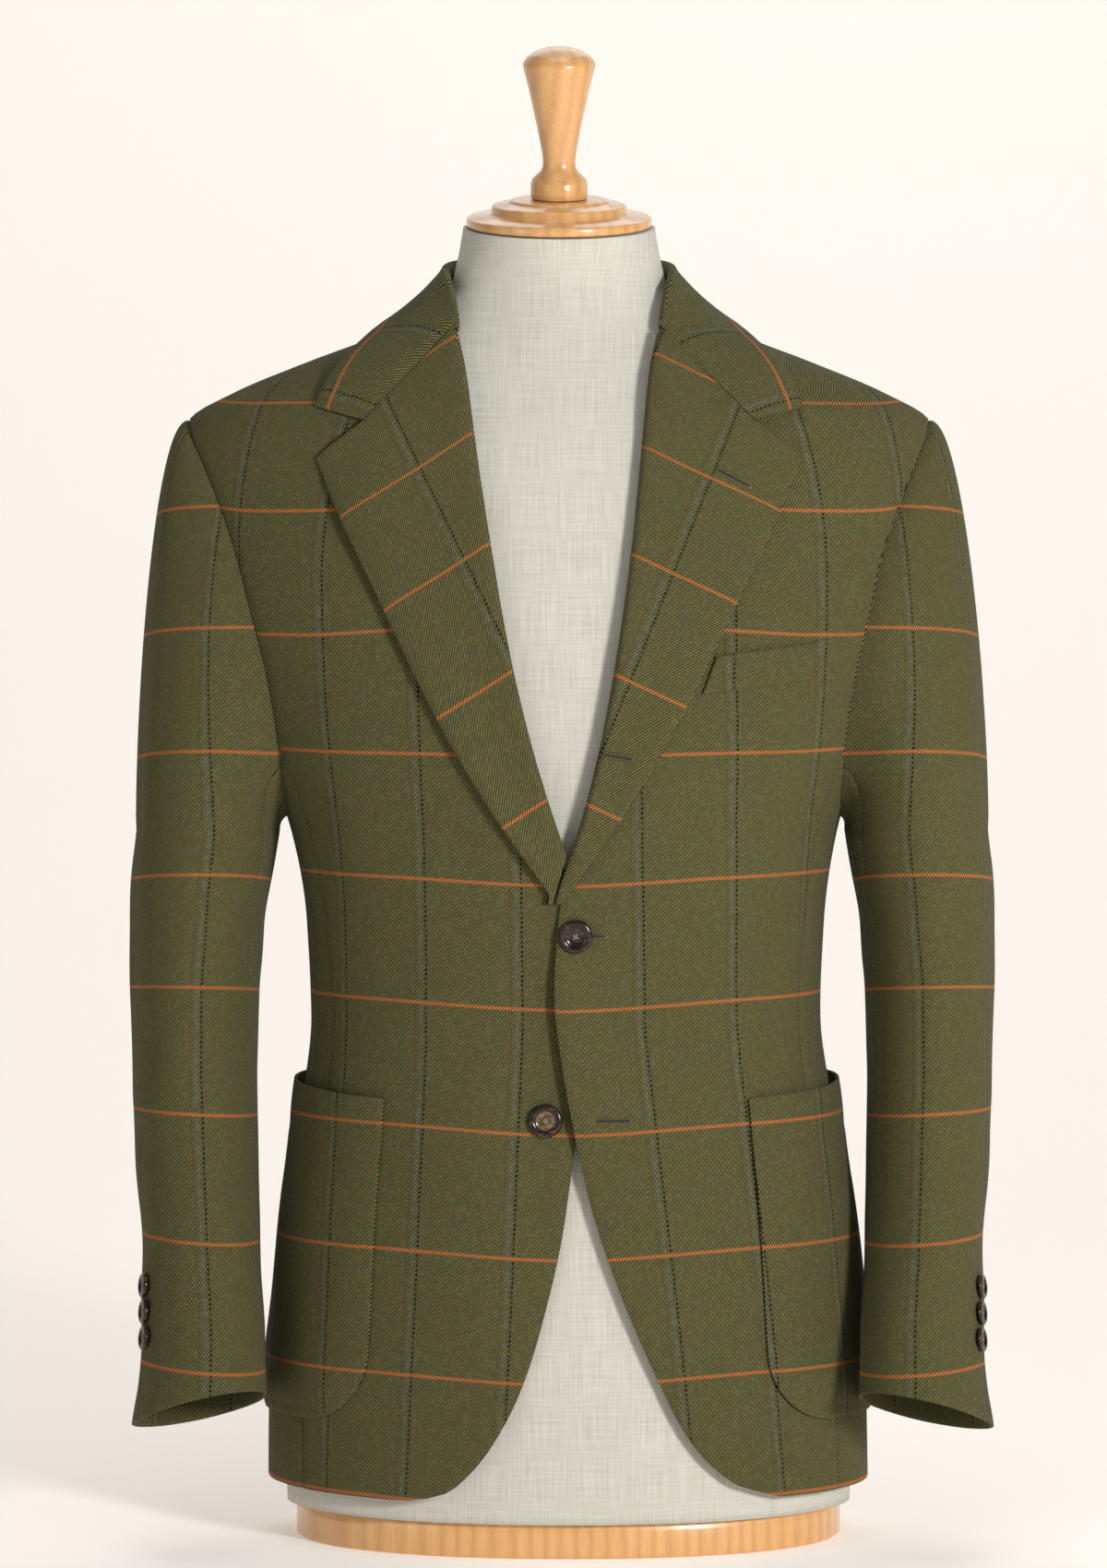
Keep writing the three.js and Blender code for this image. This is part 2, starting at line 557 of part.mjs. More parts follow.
function sleeveHeadPoint(side, angle, t, inward) {
  const wrapped = angle > Math.PI ? angle - 2 * Math.PI : angle;
  const hole = armhole(wrapped, ARMHOLE_EASE + inward);
  const from = onBody(side, hole.turn, hole.height, -CLOTH / 2);
  const to = sleeveRingPoint(side, angle, SLEEVE_HEIGHTS[0], inward);
  const chord = from.distanceTo(to);
  const radial = new THREE.Vector3(0, -Math.sin(angle), Math.cos(angle) * 0.7);
  const leave = new THREE.Vector3(side, 0, 0).addScaledVector(radial, 0.5).normalize();
  leave.multiplyScalar(Math.min(70, 0.9 * chord + 4));
  const arrive = UP.clone().multiplyScalar(-chord);
  const point = from.multiplyScalar((1 + 2 * t) * (1 - t) ** 2);
  point.addScaledVector(leave, t * (1 - t) ** 2);
  point.addScaledVector(to, t * t * (3 - 2 * t));
  return point.addScaledVector(arrive, t * t * (t - 1));
}

// Angles of the two sleeve seams: near the armhole and at the cuff, where the back seam has
// turned towards the outside.
const SLEEVE_SEAMS = { frontTop: rad(138), frontCuff: rad(164), backTop: rad(-118), backCuff: rad(8) };
const SLEEVE_COLUMNS = { upper: 14, under: 8 };

function sleevePiece(side, which) {
  const rows = [
    ...HEAD_STEPS.map((t) => ({ t, height: SLEEVE_HEIGHTS[0] })),
    ...SLEEVE_HEIGHTS.map((height) => ({ t: 1, height })),
  ];
  const columns = SLEEVE_COLUMNS[which];
  return wall(...grids(rows.length, columns, side, (i, j) => {
    const { t, height } = rows[i];
    const down = i / (rows.length - 1);
    const front = lerp(SLEEVE_SEAMS.frontTop, SLEEVE_SEAMS.frontCuff, down);
    const back = lerp(SLEEVE_SEAMS.backTop, SLEEVE_SEAMS.backCuff, THREE.MathUtils.smoothstep(down, 0.1, 1));
    const gap = (SEAM / 2 + 0.1) / 45;
    const span = which === "upper" ? [back + gap, front - gap] : [front + gap, back + 2 * Math.PI - gap];
    const angle = lerp(...span, j / (columns - 1));
    const place = t < 1 ? sleeveHeadPoint : sleeveRingPoint;
    return [0, CLOTH].map((inward) => place(side, angle, t < 1 ? t : height, inward));
  }));
}

// A patch pocket on the hip: straight inner edge, rounded lower corners, lifted mouth.
const POCKET = {
  top: 284, bottom: 82, inner: 119, width: 152, corner: 46, swing: 5, mouthSlope: 7, mouthLift: 3.5,
};
const POCKET_CORNER_STEPS = 5;
const POCKET_UPPER_STEPS = 5;
const POCKET_COLUMNS = 10;
const HIP_RADIUS = 165; // turns a width round the hip into an angle
function patchPocket(side) {
  const rows = steps(POCKET_CORNER_STEPS).map((t) => ({
    rise: POCKET.corner * (1 - Math.cos(t * RIGHT_ANGLE)),
    cut: POCKET.corner * (1 - Math.sin(t * RIGHT_ANGLE)),
  }));
  const full = POCKET.top - POCKET.bottom;
  for (const t of steps(POCKET_UPPER_STEPS).slice(1)) {
    rows.push({ rise: lerp(POCKET.corner, full, t), cut: 0 });
  }
  const start = side * turnAtX(side * POCKET.inner + POCKET.swing, 200);
  return wall(...grids(rows.length, POCKET_COLUMNS, side, (i, j) => {
    const { rise, cut } = rows[i];
    const across = j / (POCKET_COLUMNS - 1);
    const up = rise / full;
    const height = POCKET.bottom + rise + POCKET.mouthSlope * up * across;
    const turn = start + lerp(cut, POCKET.width - cut * 0.8, across) / HIP_RADIUS;
    const mouth = POCKET.mouthLift * across * THREE.MathUtils.smoothstep(up, 0.7, 1);
    const lift = POCKET_LIFT + mouth;
    return [onBody(side, turn, height, lift + CLOTH), onBody(side, turn, height, lift)];
  }));
}

// The welt of the breast pocket, on the left front.
const WELT = { inner: 87, outer: 157, low: 535, rise: 9, depth: 24, innerLean: 9, outerLean: 4 };
function breastWelt() {
  return wall(...grids(3, 7, 1, (i, j) => {
    const [up, across] = [i / 2, j / 6];
    const height = WELT.low + WELT.rise * across + WELT.depth * up;
    const x = lerp(WELT.inner + WELT.innerLean * up, WELT.outer + WELT.outerLean * up, across);
    const turn = turnAtX(x, height);
    return [onBody(1, turn, height, 1 + CLOTH), onBody(1, turn, height, 1)];
  }));
}

// A four-hole button, its face along +Z and its back on Z = 0.
function buttonShape(radius, thickness) {
  const rim = 0.8;
  const shape = new THREE.Shape().absarc(0, 0, radius - rim, 0, 2 * Math.PI);
  for (let i = 0; i < 4; i++) {
    const turn = Math.PI / 4 + i * RIGHT_ANGLE;
    const hole = new THREE.Path().absarc(
      radius * 0.2 * Math.cos(turn), radius * 0.2 * Math.sin(turn), radius * 0.09 + 0.25, 0, 2 * Math.PI, true);
    shape.holes.push(new THREE.Path(hole.getPoints(1.5)));
  }
  const geometry = new THREE.ExtrudeGeometry(shape, {
    depth: thickness - 2 * rim, curveSegments: 7, bevelSize: rim, bevelThickness: rim, bevelSegments: 1 });
  return geometry.translate(0, 0, rim);
}

// Places a button's back against a surface point, its face along the normal.
function seatButton(mesh, point, normal, clear) {
  mesh.position.copy(point).addScaledVector(normal, clear);
  mesh.quaternion.setFromUnitVectors(UP, normal);
  return mesh;
}

const FRONT_BUTTONS = [
  { name: "button_front_upper", side: 1, x: 10, height: 387 },
  { name: "button_front_lower", side: -1, x: -8.5, height: 273 },
];
const CUFF_BUTTON_HEIGHTS = [164, 149, 134];
const CUFF_BUTTON_TURN = rad(30);

// Profile of the turned neck block and of the handle above it: radius and height above the neck.
const NECK_BLOCK = [
  [0, 0], [57, 0], [58.5, 1.5], [58.5, 4.8], [57, 6.4], [43.2, 8.3], [42.7, 12.4], [41.5, 13.9],
  [32, 15.2], [31.2, 16.4], [30, 17.3], [0, 17.3],
];
const HANDLE = [
  [0, 0], [17.5, 0], [18, 2], [18, 9.5], [16.6, 13], [11.5, 17], [10.4, 21.5], [11.2, 29],
  [14.4, 47], [19, 67.5], [22.4, 81], [22.9, 84.5], [21, 88.5], [16, 92], [9, 94.7], [0, 95.5],
];
const TURNING_SEGMENTS = 24;

function turned(profile, start) {
  const shape = new THREE.LatheGeometry(
    profile.map(([radius, height]) => new THREE.Vector2(radius, height)), TURNING_SEGMENTS);
  const middle = new THREE.Vector3(form.at.shift(NECK_TOP), NECK_CENTRE_Y, NECK_TOP);
  return shape.rotateX(RIGHT_ANGLE).translate(0, 0, start).rotateX(NECK_TILT).translate(...middle);
}

const FORM_SPOKES = 36;
function formTorso() {
  const ring = (pointAt) => steps(FORM_SPOKES).slice(0, -1).map((t) => pointAt(2 * Math.PI * t));
  const heights = [
    BOARD_TOP + SEAM, 60, 100, 155, 213, 272, 330, 388, 430, 465, 500, 540, 584, 620, 660, 690, 707,
    718, 731, 744, 756, 767, 777, 788];
  const rings = heights.map((height) => ring((turn) => form.point(turn, height)));
  for (const share of [0.4, 0.75, 1]) {
    rings.push(ring((turn) => {
      const low = form.point(turn, 795);
      const depth = Math.cos(turn) > 0 ? NECK_RING.front : NECK_RING.back;
      const high = new THREE.Vector3(
        NECK_RING.half * Math.sin(turn), -depth * Math.cos(turn), 0);
      high.applyAxisAngle(new THREE.Vector3(1, 0, 0), NECK_TILT);
      high.add(new THREE.Vector3(0, NECK_CENTRE_Y, NECK_TOP - SEAM));
      return low.lerp(high, share);
    }));
  }
  return loft(rings);
}

function baseBoard() {
  const outline = steps(FORM_SPOKES).slice(0, -1).map((t) => form.point(2 * Math.PI * t, BOARD_TOP));
  const ring = (height, inward) => outline.map((p) => {
    const middle = new THREE.Vector3(form.at.shift(0), 0, 0);
    const away = p.clone().setZ(0).sub(middle);
    const length = away.length() - inward;
    return away.setLength(length).add(middle).setZ(height);
  });
  return loft([ring(0, 8), ring(2, 6), ring(BOARD_TOP - 2, 6), ring(BOARD_TOP, 8)]);
}

const colours = {
  tweed: new THREE.MeshStandardMaterial({ color: "#5d5c33", roughness: 0.95, metalness: 0 }),
  horn: new THREE.MeshStandardMaterial({ color: "#33261f", roughness: 0.35, metalness: 0 }),
  linen: new THREE.MeshStandardMaterial({ color: "#cfc9b2", roughness: 0.95, metalness: 0 }),
  beech: new THREE.MeshStandardMaterial({ color: "#cf9a5a", roughness: 0.4, metalness: 0 }),
};

const jacketOnForm = new THREE.Group();
function add(name, geometry, material) {
  const mesh = new THREE.Mesh(geometry, material);
  mesh.name = name;
  jacketOnForm.add(mesh);
  return mesh;
}

add("base_board", baseBoard(), colours.beech);
add("form_torso", formTorso(), colours.linen);
add("neck_block", turned(NECK_BLOCK, SEAM), colours.beech);
add("neck_handle", turned(HANDLE, NECK_BLOCK.at(-1)[1] + 2 * SEAM), colours.beech);
add("collar", collar(), colours.tweed);
add("breast_welt", breastWelt(), colours.tweed);
for (const [side, name] of [[1, "left"], [-1, "right"]]) {
  add(`front_${name}`, frontPanel(side), colours.tweed);
  add(`side_${name}`, sidePanel(side), colours.tweed);
  add(`back_${name}`, backPanel(side), colours.tweed);
  add(`lapel_${name}`, lapel(side), colours.tweed);
  add(`patch_pocket_${name}`, patchPocket(side), colours.tweed);
  add(`sleeve_upper_${name}`, sleevePiece(side, "upper"), colours.tweed);
  add(`sleeve_under_${name}`, sleevePiece(side, "under"), colours.tweed);
  CUFF_BUTTON_HEIGHTS.forEach((height, i) => {
    const [at, normal] = sleeveSurface(side, CUFF_BUTTON_TURN, height);
    const mesh = add(`button_cuff_${name}_${i + 1}`,
      buttonShape(BUTTONS.cuffRadius, BUTTONS.cuffThickness), colours.horn);
    seatButton(mesh, at, normal, 0.8);
  });
}
for (const { name, side, x, height } of FRONT_BUTTONS) {
  const turn = turnAtX(x, height);
  const [at, inner] = clothPair(side, side * turn, height);
  const normal = at.clone().sub(inner).normalize();
  const mesh = add(name, buttonShape(BUTTONS.frontRadius, BUTTONS.frontThickness), colours.horn);
  seatButton(mesh, at, normal, 0.6);
}

export default jacketOnForm;
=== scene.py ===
"""Looks of a windowpane tweed jacket that hangs on a limbless linen dress form.

Lengths in the tables are millimetres and become metres when a mesh is made. +Z is up, the
jacket's front faces -Y, and the wearer's left side is +X.
"""
import logging
import math
from bisect import bisect_right
from dataclasses import dataclass, field
from enum import Enum
from typing import Callable, Sequence

import bmesh
import bpy
from mathutils import Matrix, Vector, noise


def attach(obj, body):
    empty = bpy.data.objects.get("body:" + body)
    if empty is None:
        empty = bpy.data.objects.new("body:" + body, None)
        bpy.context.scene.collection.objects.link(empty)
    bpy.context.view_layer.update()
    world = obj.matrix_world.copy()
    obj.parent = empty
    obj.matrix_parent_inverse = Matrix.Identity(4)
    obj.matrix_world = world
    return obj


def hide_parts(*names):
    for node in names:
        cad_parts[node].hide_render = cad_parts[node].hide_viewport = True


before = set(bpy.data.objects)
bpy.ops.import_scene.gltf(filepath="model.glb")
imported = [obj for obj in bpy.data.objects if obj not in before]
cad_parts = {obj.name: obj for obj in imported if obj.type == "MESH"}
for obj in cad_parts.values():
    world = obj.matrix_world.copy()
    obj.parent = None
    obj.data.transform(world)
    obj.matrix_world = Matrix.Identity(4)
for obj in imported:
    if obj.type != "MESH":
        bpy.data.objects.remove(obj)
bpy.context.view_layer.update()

LOG = logging.getLogger("jacket")
MM = 0.001
WELD = 1e-6
RIGHT_ANGLE = math.pi / 2
UP = Vector((0, 0, 1))

Grid = list[list[tuple[Vector, tuple[float, float]]]]


class Side(Enum):
    """Side of the wearer that a piece belongs to."""

    LEFT = 1
    RIGHT = -1

    @property
    def word(self) -> str:
        """The side as it stands in node names."""
        return self.name.lower()


# Sizes shared by several pieces
CLOTH = 2.0
BOARD_TOP = 22.0
HEM = 37.0
PANEL_SEAM = math.radians(130)
ARMHOLE_MIDDLE, ARMHOLE_HALF = 581.0, 126.0
ARMHOLE_FRONT, ARMHOLE_BACK, ARMHOLE_TAPER = 62.0, 64.0, 0.29
GORGE = 759.0
BREAK = 405.0
LAPEL_LIFT = 1.4
FOLD_BEAD = 3.0
NOTCH_SHARE, NOTCH_DIP = 0.65, 5.0
LAPEL_TIP = (150.0, 681.0)
COLLAR_CORNER = (151.0, 712.0)
NECK_TILT = math.radians(10.5)
NECK_TOP, NECK_CENTRE_Y = 827.8, -4.0
PANE_HEIGHT, PANE_WIDTH = 76.8, 61.0
PANE_START = 423.0 - 5 * PANE_HEIGHT


def mix(a: float, b: float, share: float) -> float:
    """Value a share of the way from a to b."""
    return a + (b - a) * share


def ease(low: float, high: float, value: float) -> float:
    """Smooth step from 0 at low to 1 at high."""
    share = min(max((value - low) / (high - low), 0.0), 1.0)
    return share * share * (3 - 2 * share)


def bump(value: float, middle: float, reach: float) -> float:
    """A bell of height 1 round the middle."""
    return math.exp(-(((value - middle) / reach) ** 2))


class Curve:
    """A smooth curve through table points that never overshoots them."""

    def __init__(self, points: Sequence[tuple[float, float]]) -> None:
        """Works out the slope at each point.

        Args:
            points: x and y of each point, x rising.
        """
        self.xs = [p[0] for p in points]
        self.ys = [p[1] for p in points]
        pairs = list(zip(points, points[1:]))
        chords = [(b[1] - a[1]) / (b[0] - a[0]) for a, b in pairs]
        self.slopes = []
        for i in range(len(points)):
            before, after = chords[max(i - 1, 0)], chords[min(i, len(chords) - 1)]
            turns = before * after <= 0
            self.slopes.append(0.0 if turns else 2 * before * after / (before + after))

    def __call__(self, x: float) -> float:
        """Value of the curve.

        Args:
            x: place on the curve, which is held level beyond both ends.

        Returns:
            The value at x.
        """
        if x <= self.xs[0]:
            return self.ys[0]
        if x >= self.xs[-1]:
            return self.ys[-1]
        i = bisect_right(self.xs, x) - 1
        width = self.xs[i + 1] - self.xs[i]
        t = (x - self.xs[i]) / width
        rise = self.ys[i + 1] - self.ys[i]
        bend = self.slopes[i] * t * (1 - t) ** 2 - self.slopes[i + 1] * t * t * (1 - t)
        return self.ys[i] + rise * t * t * (3 - 2 * t) + width * bend


@dataclass(frozen=True)
class Section:
    """Horizontal section of a rounded shape: squareness 2 is an ellipse."""

    height: float
    half: float
    front: float
    back: float
    square: float = 2.0
    shift: float = 0.0


class Shape:
    """Closed round shape given by horizontal sections; turn 0 is the front, 90 degrees a side."""

    ARC_STEPS = 72
    PROBE = 0.004

    def __init__(self, sections: Sequence[Section]) -> None:
        """Makes a curve of each size over the height.

        Args:
            sections: the sections, from the lowest up.
        """
        self.half, self.front, self.back, self.square, self.shift = (
            Curve([(s.height, getattr(s, name)) for s in sections])
            for name in ("half", "front", "back", "square", "shift"))
        self.arcs: dict[int, list[float]] = {}

    def point(self, turn: float, height: float) -> Vector:
        """Point of the surface.

        Args:
            turn: turn round the shape, signed as x.
            height: height of the point.

        Returns:
            The point in millimetres.
        """
        sine, cosine = math.sin(turn), math.cos(turn)
        depth = self.front(height) if cosine > 0 else self.back(height)
        n = self.square(height)
        radius = ((abs(sine) / self.half(height)) ** n + (abs(cosine) / depth) ** n) ** (-1 / n)
        return Vector((radius * sine + self.shift(height), -radius * cosine, height))

    def lifted(self, turn: float, height: float, out: float) -> Vector:
        """Point moved out along the surface's normal.

        Args:
            turn: turn round the shape.
            height: height of the point before it moves.
            out: distance outwards.

        Returns:
            The point in millimetres.
        """
        step = self.PROBE
        across = self.point(turn + step, height) - self.point(turn - step, height)
        along = self.point(turn, height + 1) - self.point(turn, height - 1)
        return self.point(turn, height) + across.cross(along).normalized() * out

    def turn_at_x(self, x: float, height: float) -> float:
        """Turn, signed as x, at which the front of the shape has this x.

        Args:
            x: distance from the centre plane.
            height: height of the point.

        Returns:
            The turn.
        """
        away = x - self.shift(height)
        share = min(abs(away) / self.half(height), 0.999)
        n = self.square(height)
        return math.atan2(away, self.front(height) * (1 - share**n) ** (1 / n))

    def arc(self, turn: float, height: float) -> float:
        """Length round the surface from the centre front, signed as the turn.

        Args:
            turn: turn round the shape.
            height: height, taken to the nearest millimetre.

        Returns:
            The length in millimetres.
        """
        steps, key = self.ARC_STEPS, round(height)
        if key not in self.arcs:
            lengths, last = [0.0], self.point(0.0, key)
            for i in range(1, steps + 1):
                here = self.point(i * math.pi / steps, key)
                lengths.append(lengths[-1] + (here - last).length)
                last = here
            self.arcs[key] = lengths
        place = min(abs(turn) / math.pi * steps, steps - 0.001)
        low = int(place)
        length = mix(self.arcs[key][low], self.arcs[key][low + 1], place - low)
        return math.copysign(length, turn)


BODY = Shape([
    Section(30, 190, 124, 127, 2.1, 6),
    Section(100, 189, 123, 125, 2.1, 6),
    Section(155, 184, 121, 121, 2.1, 6),
    Section(213, 178, 118, 115, 2.1, 5.5),
    Section(272, 169, 114, 108, 2.1, 5),
    Section(330, 161.5, 111, 103, 2.1, 4.5),
    Section(388, 163.5, 114, 106, 2.15, 4),
    Section(450, 174, 120, 115, 2.2, 3),
    Section(500, 195, 122, 122, 2.2, 2),
    Section(540, 211, 120, 127, 2.15, 1),
    Section(584, 224, 115, 129, 2.1, 0.5),
    Section(620, 231, 107, 128, 2.05),
    Section(660, 237, 96, 121),
    Section(690, 238, 87, 112),
    Section(707, 234, 81, 105),
    Section(724, 206, 74, 97),
    Section(743, 160, 67, 88),
    Section(762, 111, 60, 79),
    Section(775, 91, 55, 73),
    Section(788, 77, 52, 67),
    Section(800, 68.5, 50, 63),
    Section(816, 65.5, 50, 61),
])

FORM = Shape([
    Section(22, 179, 112, 114, 2.1, 6),
    Section(100, 180, 114, 115, 2.1, 6),
    Section(155, 176, 112, 112, 2.1, 6),
    Section(213, 169, 109, 106, 2.1, 5.5),
    Section(272, 160, 104, 99, 2.1, 5),
    Section(330, 152, 101, 94, 2.1, 4.5),
    Section(388, 154, 103, 97, 2.15, 4),
    Section(450, 162, 109, 106, 2.2, 3),
    Section(500, 169, 112, 113, 2.2, 2),
    Section(540, 175, 110, 118, 2.15, 1),
    Section(584, 181, 106, 120, 2.1, 0.5),
    Section(620, 185, 99, 119, 2.05),
    Section(660, 188, 89, 112),
    Section(690, 186, 80.5, 103.5),
    Section(707, 180, 74, 96.5, 1.9),
    Section(724, 168, 66, 86, 1.8),
    Section(743, 152, 59, 76, 1.75),
    Section(762, 102, 52, 67, 1.75),
    Section(775, 83, 49, 59, 1.8),
    Section(788, 69, 48, 53, 1.9),
    Section(800, 62, 50, 50),
])

# Inner edge of each front, from hem to gorge, as (height, distance from the centre plane)
FRONT_EDGE = {
    Side.LEFT: Curve([
        (37, 137), (47, 109), (75, 81), (115, 60), (171, 36), (222, 19), (267, 9), (312, 1),
        (351, -3), (405, 0.6), (426, 6), (453, 15), (509, 29), (565, 39), (622, 47), (679, 53),
        (737, 59), (760, 64),
    ]),
    Side.RIGHT: Curve([
        (37, 94), (41, 73), (53, 57), (75, 40), (109, 23), (154, 9), (202, -2), (244, -8),
        (300, -15), (351, -21), (405, -14), (426, -6), (453, 4), (509, 21), (565, 34), (622, 44),
        (679, 53), (737, 61), (760, 66),
    ]),
}
LAPEL_EDGE = Curve([(405, 1), (461, 39), (521, 74), (580, 103), (644, 134), (681, 150)])


@dataclass(frozen=True)
class CollarStation:
    """Turn in degrees and height of the neck seam, the fold and the edge at one place."""

    station: float
    seam_turn: float
    seam: float
    fold_turn: float
    fold: float
    edge_turn: float
    edge: float


COLLAR_STATIONS = [
    CollarStation(0, 180, 786.5, 180, 812, 180, 768),
    CollarStation(0.25, 146, 787, 146, 811, 146, 767),
    CollarStation(0.48, 112, 788, 112, 806, 112, 764),
    CollarStation(0.62, 90, 787.5, 90, 800, 90, 761.5),
    CollarStation(0.76, 73, 778, 69, 788, 78, 753),
    CollarStation(0.89, 60, 765.5, 57, 772, 71.5, 734),
    CollarStation(1, 53.5, 758.5, 51.5, 761.5, 68.5, 711),
]
NECKLINE_TURN = Curve([(s.seam, math.radians(s.seam_turn)) for s in COLLAR_STATIONS[:2:-1]])
NECKLINE_HEIGHT = Curve([(math.radians(s.seam_turn), s.seam) for s in COLLAR_STATIONS[3::-1]])


@dataclass(frozen=True)
class SleeveRing:
    """Section of a hanging sleeve: middle, half sizes, forward tilt in degrees, outward slant."""

    height: float
    out: float
    half: float
    ahead: float
    depth: float
    tilt: float
    slant: float


SLEEVE_RINGS = [
    SleeveRing(89, 222.5, 40.5, 75, 53, 15, 0.23),
    SleeveRing(125, 222.5, 38.5, 60, 54, 14, 0.19),
    SleeveRing(165, 225, 37.5, 43, 57, 13, 0.14),
    SleeveRing(205, 227, 38.5, 27, 60, 11, 0.09),
    SleeveRing(250, 229.5, 39, 12, 63, 8, 0.05),
    SleeveRing(298, 231, 39.5, 2, 66, 4, 0.02),
    SleeveRing(345, 231, 41, -2, 69, 1, 0),
    SleeveRing(385, 228.5, 43.5, -2.5, 72, 0, 0),
    SleeveRing(415, 226.5, 45, -2, 74, 0, 0),
    SleeveRing(447, 222.5, 45.5, 0, 76, 0, 0),
]

# How fast the vertical lines run outwards below the waist, and where the first group stands
SPLAY = {Side.LEFT: 0.11, Side.RIGHT: 0.05}
FIRST_GROUP = {Side.LEFT: 45.0, Side.RIGHT: -30.5}


def grain_height(height: float) -> float:
    """Length up the cloth to a height: past the chest the body leans away from the vertical."""
    return height + 0.0022 * max(height - 650, 0) ** 2


def cloth_place(side: Side, turn: float, height: float) -> tuple[float, float]:
    """Place in the weave of a point of the body: across and up, with the pattern's own origin.

    Args:
        side: the half of the jacket that the cloth belongs to.
        turn: signed turn round the body.
        height: height of the point.

    Returns:
        Millimetres across from a vertical group and up from a horizontal line.
    """
    across = BODY.arc(turn, height)
    away = abs(across)
    splay = SPLAY[side] * (1 - ease(120, 330, away))
    lean = 0.0016 * max(height - 600, 0) ** 2 - splay * max(330 - height, 0)
    belly = 5.5 * bump(across, 0, 75) * (1 - ease(430, 560, height))
    chest = 5.0 * ease(60, 165, away) * (1 - ease(190, 260, away)) * ease(500, 580, height)
    up = grain_height(height) - PANE_START + belly + chest
    return across + side.value * lean - FIRST_GROUP[side], up


def armhole(angle: float, shrink: float = 0.0) -> tuple[float, float]:
    """Edge of the armhole.

    Args:
        angle: angle from the shoulder point, positive towards the front.
        shrink: how far inside the edge the point lies.

    Returns:
        Turn and height of the point.
    """
    height = ARMHOLE_MIDDLE + (ARMHOLE_HALF - shrink) * math.cos(angle)
    reach = (ARMHOLE_FRONT if angle > 0 else ARMHOLE_BACK) - shrink
    ahead = reach * (1 - ARMHOLE_TAPER * math.cos(angle)) * math.sin(angle)
    depth = BODY.front(height) if ahead > 0 else BODY.back(height)
    n = BODY.square(height)
    out = BODY.half(height) * (1 - min(abs(ahead) / depth, 0.99) ** n) ** (1 / n)
    return math.atan2(out, ahead), height


SEAM_TOP = armhole(PANEL_SEAM)[1]


def side_seam(front: bool, height: float) -> float:
    """Turn of a side panel's front or back seam.

    Args:
        front: whether it is the front seam.
        height: height of the place.

    Returns:
        The unsigned turn.
    """
    top = armhole(PANEL_SEAM if front else -PANEL_SEAM)[0]
    share = max(height - HEM, 0) / (SEAM_TOP - HEM)
    return mix(math.radians(70 if front else 112), top, share**1.5)


def gorge(side: Side, share: float) -> tuple[float, float]:
    """The gorge seam, and on along the notch to the lapel's tip.

    Args:
        side: side of the wearer.
        share: share of the way from the neck to the tip.

    Returns:
        Distance from the centre plane, and height.
    """
    away = share / NOTCH_SHARE if share < NOTCH_SHARE else (1 - share) / (1 - NOTCH_SHARE)
    x = mix(FRONT_EDGE[side](GORGE), LAPEL_TIP[0], share)
    return x, mix(GORGE, LAPEL_TIP[1], share) - NOTCH_DIP * away


def inset(side: Side, x: float, height: float) -> float:
    """How far the right front lies behind the left one.

    Args:
        side: side of the wearer.
        x: distance of the place from the centre plane, signed.
        height: height of the place.

    Returns:
        The distance in millimetres.
    """
    if side is Side.LEFT:
        return 0.0
    return 3.2 * ease(-48, -8, x) * (1 - ease(432, 500, height))


